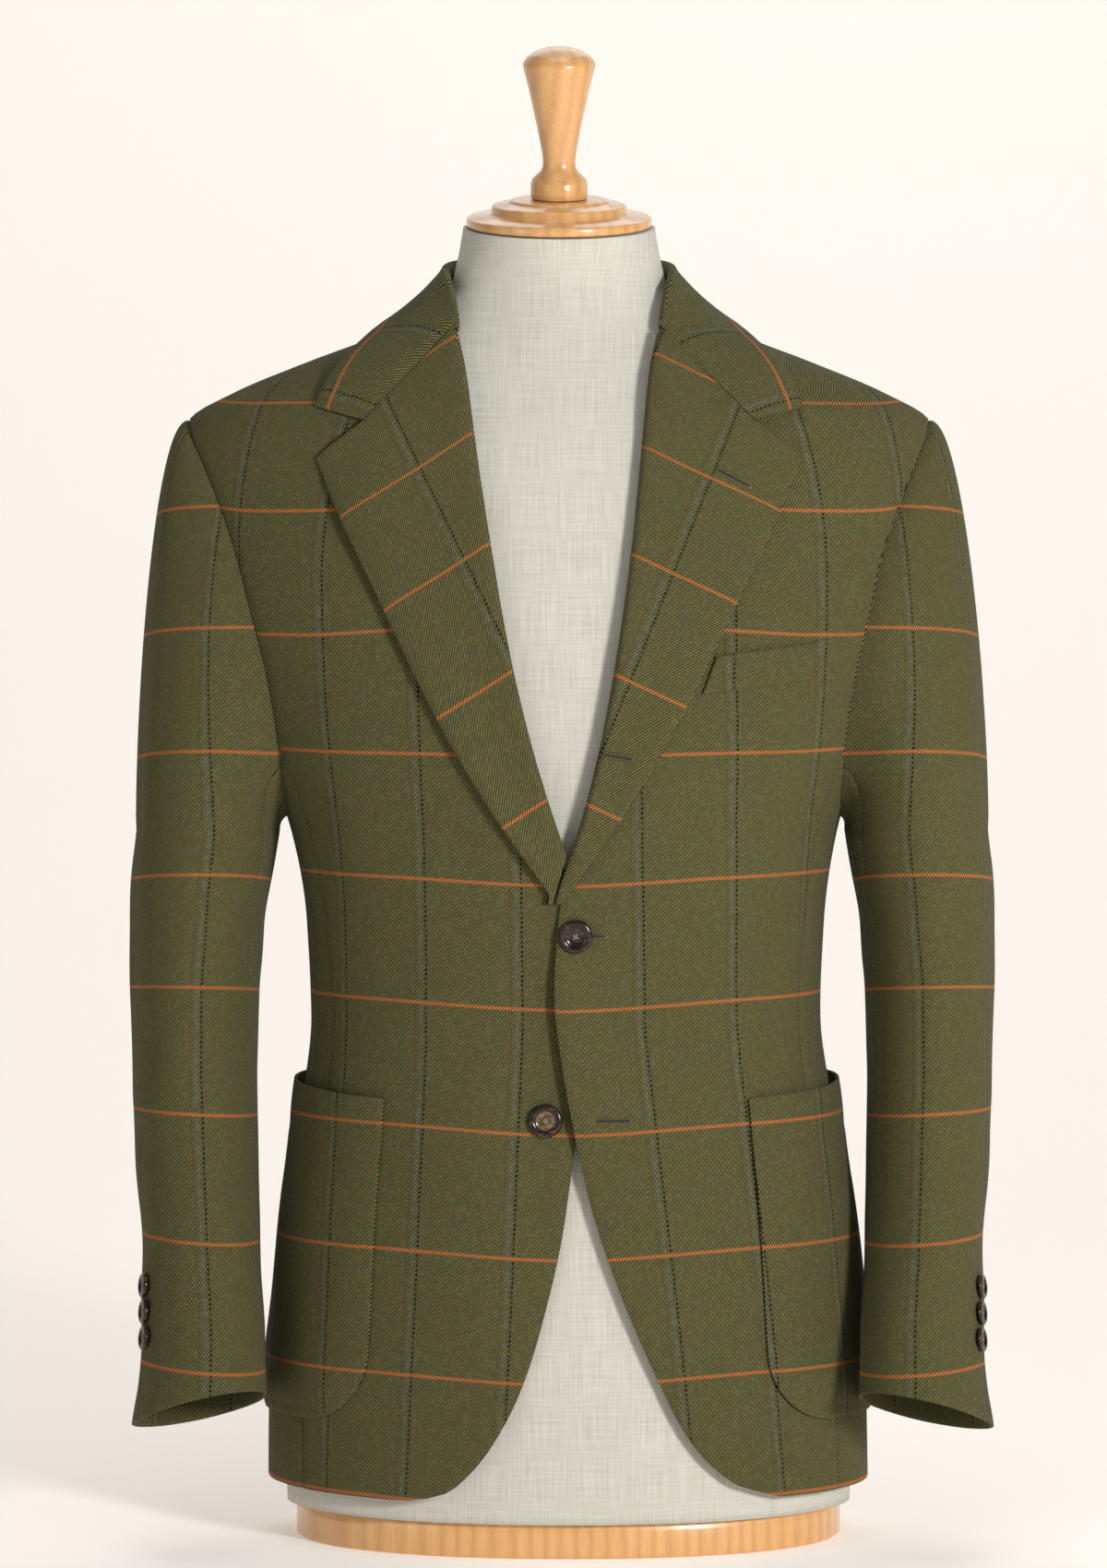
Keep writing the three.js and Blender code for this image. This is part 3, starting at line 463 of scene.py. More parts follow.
class Graph:
    """Builds a material's nodes with short calls."""

    def __init__(self, name: str) -> None:
        """Starts a material with its shader.

        Args:
            name: material name.
        """
        self.material = bpy.data.materials.new(name)
        self.material.use_nodes = True
        self.tree = self.material.node_tree
        self.shader = self.tree.nodes["Principled BSDF"]

    def node(self, kind: str, **inputs: object) -> bpy.types.Node:
        """New node whose named inputs are linked, or set to a value.

        Args:
            kind: Blender's name of the node.
            inputs: value or socket for each input, with _ for a space in its name.

        Returns:
            The node.
        """
        made = self.tree.nodes.new(kind)
        for name, value in inputs.items():
            self.put(made.inputs[name.replace("_", " ")], value)
        return made

    def put(self, socket: bpy.types.NodeSocket, value: object) -> None:
        """Links a socket, or sets its value.

        Args:
            socket: input to fill.
            value: a socket to link, a value to set, or None to leave the input alone.
        """
        if isinstance(value, bpy.types.NodeSocket):
            self.tree.links.new(value, socket)
        elif value is not None:
            socket.default_value = value

    def math(self, operation: str, a: object, b: object = None, c: object = None) -> object:
        """Result of a sum on one, two or three values.

        Args:
            operation: Blender's name of the sum.
            a: first value or socket.
            b: second value or socket.
            c: third value or socket.

        Returns:
            The socket that holds the result.
        """
        made = self.tree.nodes.new("ShaderNodeMath")
        made.operation = operation
        for socket, value in zip(made.inputs, (a, b, c)):
            self.put(socket, value)
        return made.outputs[0]

    def times(self, a: object, b: object) -> object:
        """Product of two values."""
        return self.math("MULTIPLY", a, b)

    def plus(self, a: object, b: object) -> object:
        """Sum of two values."""
        return self.math("ADD", a, b)

    def scaled(self, value: object, factor: float, start: float) -> object:
        """A value times a factor, plus a start."""
        return self.math("MULTIPLY_ADD", value, factor, start)

    def wave(self, value: object) -> object:
        """Sine of a value in radians."""
        return self.math("SINE", value)

    def ribs(self, value: object) -> object:
        """Rounded ribs from 0 to 1, one for each whole step of the value."""
        return self.math("ABSOLUTE", self.wave(self.times(value, math.pi)))

    def shaded(self, colour: object, shade: object) -> object:
        """A colour made lighter or darker by a value round 1."""
        return self.blend(1.0, colour, self.vector(shade, shade, shade), "MULTIPLY")

    def blend(self, share: object, a: object, b: object, mode: str = "MIX") -> object:
        """Colour a share of the way from a to b.

        Args:
            share: share of b, or how strongly the mode works.
            a: first colour.
            b: second colour.
            mode: Blender's name of the way in which the colours mix.

        Returns:
            The socket that holds the colour.
        """
        made = self.tree.nodes.new("ShaderNodeMix")
        made.data_type = "RGBA"
        made.blend_type = mode
        sockets = [s for s in made.inputs if s.type == "RGBA"]
        self.put(made.inputs["Factor"], share)
        self.put(sockets[0], a)
        self.put(sockets[1], b)
        return next(s for s in made.outputs if s.type == "RGBA")

    def ramp(self, value: object, stops: Sequence[tuple[float, tuple]],
             steps: bool = False) -> object:
        """Colour looked up on a ramp.

        Args:
            value: place on the ramp.
            stops: place and colour of each stop.
            steps: whether the colours change in steps.

        Returns:
            The socket that holds the colour.
        """
        made = self.node("ShaderNodeValToRGB", Fac=value)
        made.color_ramp.interpolation = "CONSTANT" if steps else "LINEAR"
        while len(made.color_ramp.elements) < len(stops):
            made.color_ramp.elements.new(0.5)
        for element, (place, colour) in zip(made.color_ramp.elements, stops):
            element.position = place
            element.color = colour
        return made.outputs[0]

    def coordinates(self, layer: str | None = None) -> tuple[object, object, object]:
        """The three coordinates of a UV layer, or of the object itself.

        Args:
            layer: name of the UV layer, or None for the object's coordinates.

        Returns:
            The sockets that hold x, y and z.
        """
        if layer:
            source = self.node("ShaderNodeUVMap")
            source.uv_map = layer
            vector = source.outputs[0]
        else:
            vector = self.node("ShaderNodeTexCoord").outputs["Object"]
        split = self.node("ShaderNodeSeparateXYZ", Vector=vector)
        return split.outputs[0], split.outputs[1], split.outputs[2]

    def vector(self, x: object, y: object, z: object = 0.0) -> object:
        """A vector from three values."""
        return self.node("ShaderNodeCombineXYZ", X=x, Y=y, Z=z).outputs[0]

    def noise(self, vector: object, scale: float, detail: float = 3.0) -> object:
        """Soft noise from 0 to 1."""
        return self.node("ShaderNodeTexNoise", Vector=vector, Scale=scale, Detail=detail).outputs[0]

    def cell(self, vector: object) -> object:
        """A random value for each whole place in a plane."""
        made = self.node("ShaderNodeTexWhiteNoise", Vector=vector)
        made.noise_dimensions = "2D"
        return made.outputs[0]

    def finish(self, colour: object, roughness: object, height: object = None,
               depth: float = 0.0, **constants: float) -> bpy.types.Material:
        """Connects the shader and returns the material.

        Args:
            colour: base colour.
            roughness: roughness.
            height: bump height from 0 to 1.
            depth: metres between bump heights 0 and 1.
            constants: further shader inputs by name.

        Returns:
            The finished material.
        """
        self.put(self.shader.inputs["Base Color"], colour)
        self.put(self.shader.inputs["Roughness"], roughness)
        if height is not None:
            relief = self.node("ShaderNodeBump", Height=height, Distance=depth)
            self.put(self.shader.inputs["Normal"], relief.outputs[0])
        for name, value in constants.items():
            self.shader.inputs[name.replace("_", " ")].default_value = value
        return self.material


def rgb(red: float, green: float, blue: float) -> tuple[float, float, float, float]:
    """Linear colour from screen values.

    Args:
        red: red from 0 to 255.
        green: green from 0 to 255.
        blue: blue from 0 to 255.

    Returns:
        The colour, with an alpha of 1.
    """
    def linear(value: float) -> float:
        """Linear light of one screen value."""
        share = value / 255
        return share / 12.92 if share <= 0.04045 else ((share + 0.055) / 1.055) ** 2.4
    return linear(red), linear(green), linear(blue), 1.0


@dataclass(frozen=True)
class TweedFinish:
    """Olive twill with an orange line across and grouped rust, grey-blue and black lines up."""

    # dark is the colour of painted shade in the twill's grooves between the wales
    dark: tuple = rgb(32, 33, 18)
    olive: tuple = rgb(103, 101, 62)
    light: tuple = rgb(124, 119, 76)
    mustard: tuple = rgb(128, 105, 56)
    blue: tuple = rgb(92, 99, 84)
    orange: tuple = rgb(214, 126, 70)
    rust: tuple = rgb(112, 66, 40)
    slate: tuple = rgb(122, 136, 132)
    black: tuple = rgb(26, 26, 22)
    wale: float = 1.5
    stitch: float = 1.5
    stagger: float = 0.37
    slant: float = math.radians(54)
    rust_line: tuple[float, float] = (-3.8, 0.4)
    slate_line: tuple[float, float] = (0.0, 1.0)
    black_line: tuple[float, float] = (3.3, 0.65)
    dot: float = 3.0
    cross_line: tuple[float, float] = (0.0, 1.0)
    blur: float = 0.5

    def make(self, name: str = "tweed") -> bpy.types.Material:
        """The material, on the piece's own weave layer.

        Args:
            name: material name.

        Returns:
            The material.
        """
        g = Graph(name)
        u, v, _ = g.coordinates("weave")
        sine, cosine = math.sin(self.slant), math.cos(self.slant)
        across = g.math("SUBTRACT", g.times(u, sine), g.times(v, cosine))
        along = g.plus(g.times(u, cosine), g.times(v, sine))
        wale = g.math("DIVIDE", across, self.wale * MM)
        row = g.math("FLOOR", wale)
        shifted = g.plus(g.math("DIVIDE", along, self.stitch * MM), g.times(row, self.stagger))
        yarn = g.cell(g.vector(row, g.math("FLOOR", shifted)))
        stitch, ridge = g.ribs(shifted), g.ribs(wale)
        place = g.vector(u, v)
        cloth = self._lines(g, self._ground(g, place, yarn), u, v, yarn)
        # Painted shade: the grooves between the wales darken towards the dark colour and the ridges
        # keep the yarn colour; the bump adds relief as well
        unshaded_ridge = g.times(g.math("POWER", ridge, 1.7), g.scaled(stitch, 0.25, 0.75))
        cloth = g.blend(unshaded_ridge, self.dark, cloth)
        cloth = g.shaded(cloth, g.scaled(g.noise(place, 7, 2), 0.16, 0.92))
        fuzz = g.noise(place, 2600, 2)
        height = g.plus(g.times(ridge, g.scaled(stitch, 0.4, 0.6)), g.times(fuzz, 0.35))
        return g.finish(cloth, 0.95, height, 0.0003, Sheen_Weight=0.03, Sheen_Roughness=0.5,
                        Specular_IOR_Level=0.15)

    def _ground(self, g: Graph, place: object, yarn: object) -> object:
        """Mixed yarns of the twill.

        Args:
            g: the material's graph.
            place: place in the weave.
            yarn: random value of the stitch.

        Returns:
            The socket that holds the colour.
        """
        mixed = g.ramp(yarn, [
            (0.0, self.olive), (0.42, self.light), (0.7, self.olive), (0.86, self.mustard),
            (0.955, self.blue),
        ], steps=True)
        mixed = g.blend(0.3, mixed, self.olive)
        return g.blend(g.times(g.noise(place, 120, 3), 0.2), mixed, self.light)

    def _lines(self, g: Graph, cloth: object, u: object, v: object, yarn: object) -> object:
        """Lays the check's lines over the ground.

        Args:
            g: the material's graph.
            cloth: colour of the ground.
            u: place across the weave in metres.
            v: place up the weave in metres.
            yarn: random value of the stitch.

        Returns:
            The socket that holds the colour.
        """
        def away(value: object, pitch: float) -> object:
            """Millimetres from the nearest repeat of the check."""
            turns = g.math("DIVIDE", value, pitch * MM)
            part = g.math("SUBTRACT", turns, g.math("ROUND", turns))
            return g.times(part, pitch)

        def line(distance: object, middle: float, half: float) -> object:
            """How fully a line covers the place: its middle and half width are millimetres."""
            gap = g.math("ABSOLUTE", g.math("SUBTRACT", distance, middle))
            edge = g.math("DIVIDE", g.math("SUBTRACT", half + self.blur / 2, gap), self.blur)
            return g.math("MINIMUM", g.math("MAXIMUM", edge, 0.0), 1.0)

        up, beside = away(v, PANE_HEIGHT), away(u, PANE_WIDTH)
        dashes = g.scaled(g.math("GREATER_THAN", yarn, 0.5), 0.4, 0.1)
        beat = g.wave(g.times(v, math.tau / (self.dot * MM)))
        dots = g.math("GREATER_THAN", beat, -0.3)
        for distance, place, cover, colour in (
            (beside, self.rust_line, 0.55, self.rust),
            (beside, self.slate_line, dashes, self.slate),
            (beside, self.black_line, dots, self.black),
            (up, self.cross_line, 0.95, self.orange),
        ):
            cloth = g.blend(g.times(line(distance, *place), cover), cloth, colour)
        return cloth


@dataclass(frozen=True)
class LinenFinish:
    """Unbleached linen over the form, with slubs in both directions."""

    light: tuple = rgb(225, 223, 213)
    dark: tuple = rgb(197, 194, 178)
    pitch: float = 0.7

    def make(self, name: str = "linen") -> bpy.types.Material:
        """The material, on the piece's own weave layer.

        Args:
            name: material name.

        Returns:
            The material.
        """
        g = Graph(name)
        u, v, _ = g.coordinates("weave")
        warp, weft = (g.wave(g.times(place, math.tau / (self.pitch * MM))) for place in (u, v))
        slub_up, slub_across = (
            g.noise(g.vector(g.times(u, fine), g.times(v, coarse)), 1, 2)
            for fine, coarse in ((900, 30), (30, 900)))
        weave = g.times(g.times(warp, weft), 0.5)
        slubs = g.plus(g.times(slub_up, 0.6), g.times(slub_across, 0.5))
        tone = g.plus(g.times(weave, 0.12), slubs)
        colour = g.ramp(tone, [(0.3, self.dark), (0.72, self.light)])
        return g.finish(colour, 0.9, g.plus(weave, slubs), 0.00025, Specular_IOR_Level=0.25)


@dataclass(frozen=True)
class WoodFinish:
    """Lacquered pale wood, its growth rings running up the turned piece."""

    light: tuple = rgb(222, 172, 112)
    middle: tuple = rgb(206, 152, 92)
    dark: tuple = rgb(172, 116, 62)

    def make(self, name: str = "turned_wood") -> bpy.types.Material:
        """The material, on object coordinates.

        Args:
            name: material name.

        Returns:
            The material.
        """
        g = Graph(name)
        x, y, z = g.coordinates()
        drift = g.noise(g.vector(x, y, g.times(z, 0.1)), 22, 3)
        rings = g.plus(g.times(g.plus(x, g.times(y, 0.35)), 620), g.times(drift, 11))
        grain = g.scaled(g.wave(rings), 0.5, 0.5)
        pores = g.noise(g.vector(x, y, g.times(z, 0.06)), 900, 2)
        tone = g.plus(g.times(g.math("POWER", grain, 1.6), 0.24), g.times(pores, 0.5))
        colour = g.ramp(tone, [(0.1, self.light), (0.45, self.middle), (0.95, self.dark)])
        return g.finish(colour, 0.3, pores, 0.00004, Coat_Weight=0.7, Coat_Roughness=0.1)


@dataclass(frozen=True)
class HornFinish:
    """Polished dark horn with paler streaks."""

    dark: tuple = rgb(18, 12, 9)
    brown: tuple = rgb(40, 26, 17)
    pale: tuple = rgb(96, 70, 44)

    def make(self, name: str = "horn") -> bpy.types.Material:
        """The material, on object coordinates.

        Args:
            name: material name.

        Returns:
            The material.
        """
        g = Graph(name)
        x, y, z = g.coordinates()
        streaks = g.noise(g.vector(x, y, g.times(z, 3.0)), 160, 4)
        colour = g.ramp(streaks, [(0.36, self.dark), (0.56, self.brown), (0.75, self.pale)])
        fine = g.noise(g.vector(x, y, z), 900, 2)
        return g.finish(colour, g.scaled(fine, 0.1, 0.14), fine, 0.00002, Specular_IOR_Level=0.4)


@dataclass(frozen=True)
class ThreadFinish:
    """Twisted silk thread of one colour."""

    colour: tuple

    def make(self, name: str) -> bpy.types.Material:
        """The material, on object coordinates.

        Args:
            name: material name.

        Returns:
            The material.
        """
        g = Graph(name)
        x, y, z = g.coordinates()
        twist = g.wave(g.times(g.plus(x, g.plus(y, z)), 9000))
        # Painted shade and painted highlight: the twist darkens the grooves between the plies and
        # lightens their crowns, on top of the bump
        colour = g.shaded(self.colour, g.scaled(twist, 0.22, 0.85))
        return g.finish(colour, 0.6, twist, 0.00008, Sheen_Weight=0.1)


PALE_HORN = HornFinish(rgb(72, 55, 36), rgb(108, 88, 60), rgb(140, 118, 84))


@dataclass(frozen=True)
class Finishes:
    """Every material of the object, made once."""

    tweed: bpy.types.Material = field(default_factory=lambda: TweedFinish().make())
    linen: bpy.types.Material = field(default_factory=lambda: LinenFinish().make())
    wood: bpy.types.Material = field(default_factory=lambda: WoodFinish().make())
    horn: bpy.types.Material = field(default_factory=lambda: HornFinish().make())
    pale_horn: bpy.types.Material = field(default_factory=lambda: PALE_HORN.make("pale_horn"))
    hole_thread: bpy.types.Material = field(
        default_factory=lambda: ThreadFinish(rgb(104, 97, 60)).make("hole_thread"))
    button_thread: bpy.types.Material = field(
        default_factory=lambda: ThreadFinish(rgb(150, 138, 104)).make("button_thread"))
    # Near-black thread of painted shade, for the shadowed openings of buttonholes and the holes of
    # buttons
    slit: bpy.types.Material = field(
        default_factory=lambda: ThreadFinish(rgb(16, 15, 10)).make("slit"))


FINISH = Finishes()


def linked(name: str, data: bpy.types.ID) -> bpy.types.Object:
    """A new object of the scene that shows this data."""
    made = bpy.data.objects.new(name, data)
    bpy.context.collection.objects.link(made)
    return made


def mesh_object(name: str, bm: bmesh.types.BMesh) -> bpy.types.Object:
    """Object made of a finished bmesh, shaded smooth.

    Args:
        name: object name.
        bm: the bmesh in metres, which is freed.

    Returns:
        The object, at the origin.
    """
    for face in bm.faces:
        face.smooth = True
    mesh = bpy.data.meshes.new(name)
    bm.to_mesh(mesh)
    bm.free()
    return linked(name, mesh)


def grid_mesh(name: str, grid: Grid) -> bpy.types.Object:
    """Object made of a net of points, with their places in the weave as a UV layer.

    Args:
        name: object name.
        grid: rows of points in millimetres, each with its place in the weave.

    Returns:
        The object, at the origin, its mesh in metres.
    """
    rows, columns = len(grid), len(grid[0])
    bm = bmesh.new()
    bmesh.ops.create_grid(bm, x_segments=columns - 1, y_segments=rows - 1, size=1)
    bm.verts.ensure_lookup_table()
    layer = bm.loops.layers.uv.new("weave")
    for i, row in enumerate(grid):
        for j, (point, _) in enumerate(row):
            bm.verts[i * columns + j].co = point * MM
    for face in bm.faces:
        for loop in face.loops:
            i, j = divmod(loop.vert.index, columns)
            across, up = grid[i][j][1]
            loop[layer].uv = (across * MM, up * MM)
    return mesh_object(name, bm)


def spun(profile: Sequence[tuple[float, float]], steps: int) -> bmesh.types.BMesh:
    """Closed solid made by turning a profile round the upright axis.

    Args:
        profile: radius and height of each point in millimetres, from axis to axis.
        steps: faces round the axis.

    Returns:
        The bmesh, in metres.
    """
    bm = bmesh.new()
    verts = [bm.verts.new(Vector((radius, 0, height)) * MM) for radius, height in profile]
    edges = [bm.edges.new(pair) for pair in zip(verts, verts[1:])]
    bmesh.ops.spin(bm, geom=verts + edges, axis=(0, 0, 1), cent=(0, 0, 0), angle=math.tau,
                   steps=steps)
    bmesh.ops.remove_doubles(bm, verts=bm.verts, dist=WELD)
    bmesh.ops.recalc_face_normals(bm, faces=bm.faces)
    return bm


def round_edges(piece: bpy.types.Object, radius: float, segments: int, angle: float) -> None:
    """Rounds the edges at which faces meet sharply.

    Args:
        piece: the piece.
        radius: radius in millimetres.
        segments: faces across the rounding.
        angle: smallest angle between faces, in degrees, that is rounded.
    """
    edge = piece.modifiers.new("edge", "BEVEL")
    edge.width = radius * MM
    edge.segments = segments
    edge.limit_method = "ANGLE"
    edge.angle_limit = math.radians(angle)


def thicken(piece: bpy.types.Object, thickness: float) -> None:
    """Gives a net a wall behind its face, with softly rounded edges.

    Args:
        piece: the net.
        thickness: wall thickness in millimetres.
    """
    wall = piece.modifiers.new("wall", "SOLIDIFY")
    wall.thickness = thickness * MM
    wall.offset = -1
    round_edges(piece, 0.7, 2, 55)


def declare(piece: bpy.types.Object, node: str | None = None) -> None:
    """Hangs a piece on the root body and hides the model's node that it stands for.

    Args:
        piece: the piece, which rides on the one body.
        node: the model's node that it stands for, if it has one.
    """
    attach(piece, "root")
    if node:
        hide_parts(node)


def shares(count: int) -> list[float]:
    """Even steps from 0 to 1."""
    return [i / count for i in range(count + 1)]


def undulation(turn: float, height: float, depth: float) -> float:
    """Slow, slight waviness that hanging cloth always has."""
    return depth * noise.noise(Vector((turn * 2.3, height / 75, 4.1)))


@dataclass
class Cloth:
    """A piece of the jacket: a net of points, given a wall and a finish."""

    side: Side
    flat: tuple[float, float]
    area: float | None = None
    wall: float = CLOTH
    held: str = "hung"
    rests_on: tuple[str, ...] = ("form_cover",)

    @property
    def node(self) -> str:
        """Name of the model's node that this piece stands for."""
        raise NotImplementedError

    def net(self) -> Grid:
        """Rows of points of the outer face."""
        raise NotImplementedError

    def sided(self, grid: Grid) -> Grid:
        """A net whose outer face points out on either side of the body."""
        return grid if self.side is Side.LEFT else [row[::-1] for row in grid]

    def build(self) -> bpy.types.Object:
        """Returns:
            The piece.
        """
        piece = grid_mesh(f"{self.node}_cloth", self.sided(self.net()))
        thicken(piece, self.wall)
        self.dress(piece)
        declare(piece, self.node)
        return piece

    def across(self, turn: float, middle: float, height: float) -> float:
        """Place across the weave of a panel whose middle lies midway between two groups.

        Args:
            turn: unsigned turn of the point.
            middle: unsigned turn of the panel's middle at this height.
            height: height of the point.

        Returns:
            Millimetres across from a vertical group.
        """
        value = self.side.value
        away = BODY.arc(value * turn, height) - BODY.arc(value * middle, height)
        return away + value * PANE_WIDTH / 2

    def dress(self, piece: bpy.types.Object) -> None:
        """Gives the piece its finish."""
        piece.data.materials.append(FINISH.tweed)


@dataclass(frozen=True)
class Crease:
    """A soft swell or hollow of the body cloth, by turn in degrees and height."""

    depth: float
    turn: float
    spread: float
    height: float
    reach: float


# The drape over the chest, the hollow beside it and the one behind the shoulder blade
BODY_CREASES = (
    Crease(2.2, 55, 12, 540, 85),
    Crease(-2.4, 68, 9, 505, 80),
    Crease(-1.6, 128, 10, 560, 90),
)


def body_relief(side: Side, turn: float, height: float) -> float:
    """Creases of the body cloth.

    Args:
        side: side of the wearer.
        turn: unsigned turn of the place.
        height: height of the place.

    Returns:
        How far the cloth stands out.
    """
    degrees = math.degrees(turn)
    away = abs(BODY.point(side.value * turn, height).x)
    relief = undulation(side.value * turn, height, 0.9)
    for crease in BODY_CREASES:
        relief += (crease.depth * bump(degrees, crease.turn, crease.spread)
                   * bump(height, crease.height, crease.reach))
    relief -= 2.0 * bump(height - 405 - 0.55 * away, 0, 13) * bump(away, 62, 42)
    relief += 1.5 * bump(height - 372 + 0.4 * away, 0, 15) * bump(away, 70, 45)
    ripple = math.sin(degrees / 11 + side.value)
    relief += 1.5 * ripple * (1 - ease(40, 190, height)) * ease(20, 60, degrees)
    return relief + 1.2 * bump(degrees, 114, 6) * (1 - ease(60, 260, height))


def body_spot(side: Side, turn: float, height: float,
              out: float = 0.0) -> tuple[Vector, tuple[float, float]]:
    """Point of the creased body cloth.

    Args:
        side: side of the wearer.
        turn: turn of the point, positive on the piece's own side.
        height: height of the point.
        out: further distance outwards.

    Returns:
        The point and its place in the weave.
    """
    signed = side.value * turn
    lift = out - inset(side, BODY.point(signed, height).x, height)
    lift += body_relief(side, turn, height)
    return BODY.lifted(signed, height, lift), cloth_place(side, signed, height)


# Rows of a panel: shares of the way up to the underarm, angles round the armhole, shoulder heights
SKIRT = [t**1.3 for t in shares(62)]
ARM_ANGLES = [math.radians(130 * (1 - t)) for t in shares(48)][1:]
SHOULDER_START = 707
NECK_LEVEL = 784
SHOULDER = [mix(SHOULDER_START, 777, t) for t in shares(18)][1:]
SEAM_EDGE = 0.001


def seam_dip(distance: float) -> float:
    """How far cloth turns in at a seam, by the distance from it in millimetres."""
    return -0.9 * bump(distance, 0, 2.2)


def seam_radius(height: float) -> float:
    """Radius by which a turn becomes a distance from a seam: the body is slimmer at the neck."""
    return 60 if height > SHOULDER_START else 130


def front_curl(side: Side, x: float, height: float) -> float:
    """How far the left front's overlapping edge stands forward.

    Args:
        side: side of the wearer.
        x: distance of the place from the centre plane, signed.
        height: height of the place.

    Returns:
        The distance in millimetres.
    """
    if side is Side.RIGHT:
        return 0.0
    edge = max(x - FRONT_EDGE[side](height), 0.0)
    held = ease(350, 385, height)
    lift = mix(5.0, 1.8, held) * ease(215, 290, height) * (1 - ease(BREAK - 20, BREAK, height))
    return lift * bump(edge, 0, mix(22, 11, held))


@dataclass
class FrontPanel(Cloth):
    """A front, from its cutaway edge and roll line to the side seam, armhole and shoulder."""

    columns: int = 46

    @property
    def node(self) -> str:
        """Name of the model's node that this piece stands for."""
        return f"front_{self.side.word}"

    def inner_turn(self, height: float) -> float:
        """Turn of the inner edge: the neckline, the roll line or the cutaway front.

        Args:
            height: height of the row.

        Returns:
            The turn, positive on the panel's own side.
        """
        if height > GORGE:
            return NECKLINE_TURN(height + 0.9) + 0.013
        bead = 1.8 * ease(BREAK, BREAK + 12, height)
        value = self.side.value
        return value * BODY.turn_at_x(value * (FRONT_EDGE[self.side](height) + bead), height)

    def rows(self) -> list[tuple[float, float]]:
        """Height and outer turn of each row."""
        heights = [mix(HEM, SEAM_TOP, t) for t in SKIRT]
        made = [(height, side_seam(True, height)) for height in heights]
        made += [armhole(angle)[::-1] for angle in ARM_ANGLES]
        return made + [(height, RIGHT_ANGLE) for height in SHOULDER]

    def net(self) -> Grid:
        """Rows of points from the hem to the shoulder."""
        return [[self.spot(height, outer, t) for t in shares(self.columns)]
                for height, outer in self.rows()]

    def spot(self, height: float, outer: float, t: float) -> tuple[Vector, tuple[float, float]]:
        """Point of a row, whose columns stand closer at the outer seam.

        Args:
            height: height of the row.
            outer: turn of the outer seam.
            t: share of the columns, from the inner edge.

        Returns:
            The point and its place in the weave.
        """
        inner = self.inner_turn(height)
        turn = mix(inner, outer - SEAM_EDGE, 1 - (1 - t) ** 1.3)
        lift = seam_dip((outer - turn) * seam_radius(height))
        lift += 0.6 * seam_dip((turn - inner) * 110 + 1.2)
        x = BODY.point(self.side.value * turn, height).x
        return body_spot(self.side, turn, height, lift + front_curl(self.side, x, height))


@dataclass
class SidePanel(Cloth):
    """A side panel under the arm."""

    columns: int = 26

    @property
    def node(self) -> str:
        """Name of the model's node that this piece stands for."""
        return f"side_{self.side.word}"

    def net(self) -> Grid:
        """Rows of points from the hem to the underarm."""
        return [[self.spot(t, across) for across in shares(self.columns)] for t in SKIRT]

    def spot(self, t: float, across: float) -> tuple[Vector, tuple[float, float]]:
        """Point of the panel.

        Args:
            t: share of the way up from the hem to the armhole.
            across: share of the way from the front seam to the back seam.

        Returns:
            The point and its place in the weave.
        """
        first, last = armhole(PANEL_SEAM)[0], armhole(-PANEL_SEAM)[0]
        angle = mix(PANEL_SEAM, math.tau - PANEL_SEAM, across)
        top_turn, top = armhole(angle - math.tau if angle > math.pi else angle)
        height = mix(HEM, top, t)
        front = side_seam(True, height) + SEAM_EDGE
        back = side_seam(False, height) - SEAM_EDGE
        turn = mix(front, back, (top_turn - first) / (last - first))
        dip = seam_dip((turn - front) * 150) + seam_dip((back - turn) * 150)
        point, (_, up) = body_spot(self.side, turn, height, dip)
        return point, (self.across(turn, (front + back) / 2, height), up)


@dataclass
class BackPanel(Cloth):
    """A back, from the side seam to the centre seam."""

    columns: int = 36

    @property
    def node(self) -> str:
        """Name of the model's node that this piece stands for."""
        return f"back_{self.side.word}"

    def net(self) -> Grid:
        """Rows of points from the hem to the neckline."""
        heights = [mix(HEM, SEAM_TOP, t) for t in SKIRT]
        rows = [(height, side_seam(False, height)) for height in heights]
        rows += [armhole(-angle)[::-1] for angle in ARM_ANGLES]
        rows += [(height, RIGHT_ANGLE) for height in SHOULDER]
        grid = [[self.spot(height, outer, t) for t in shares(self.columns)]
                for height, outer in rows]
        neck = [self.spot(None, RIGHT_ANGLE, t) for t in shares(self.columns)]
        return grid + [neck]

    def spot(self, height: float | None, outer: float,
             t: float) -> tuple[Vector, tuple[float, float]]:
        """Point of a row, whose columns stand closer at the outer seam.

        Args:
            height: height of the row, or None for the row along the neckline.
            outer: turn of the outer seam.
            t: share of the columns, from the outer seam.

        Returns:
            The point and its place in the weave.
        """
        turn = mix(outer + SEAM_EDGE, math.pi - SEAM_EDGE, t**1.3)
        level = NECKLINE_HEIGHT(turn) - 0.8 if height is None else height
        radius = seam_radius(NECK_LEVEL if height is None else height)
        dip = seam_dip((turn - outer) * radius) + seam_dip((math.pi - turn) * radius)
        point, (_, up) = body_spot(self.side, turn, level, dip)
        return point, (self.across(turn, math.pi, level), up)


@dataclass(frozen=True)
class LapelGrain:
    """How the weave lies on a lapel: the slants of its lines, a group's place, and its panes."""

    group_slant: float
    pane_slant: float
    group: float
    panes: Curve

    def place(self, x: float, height: float) -> tuple[float, float]:
        """Place in the weave of a point of the lapel.

        Args:
            x: distance from the centre plane, signed.
            height: height of the point.

        Returns:
            Millimetres across and up.
        """
        slant, level = math.radians(self.group_slant), math.radians(self.pane_slant)
        across = x * math.cos(slant) - height * math.sin(slant) - self.group
        return across, PANE_HEIGHT * self.panes(x * math.sin(level) + height * math.cos(level))


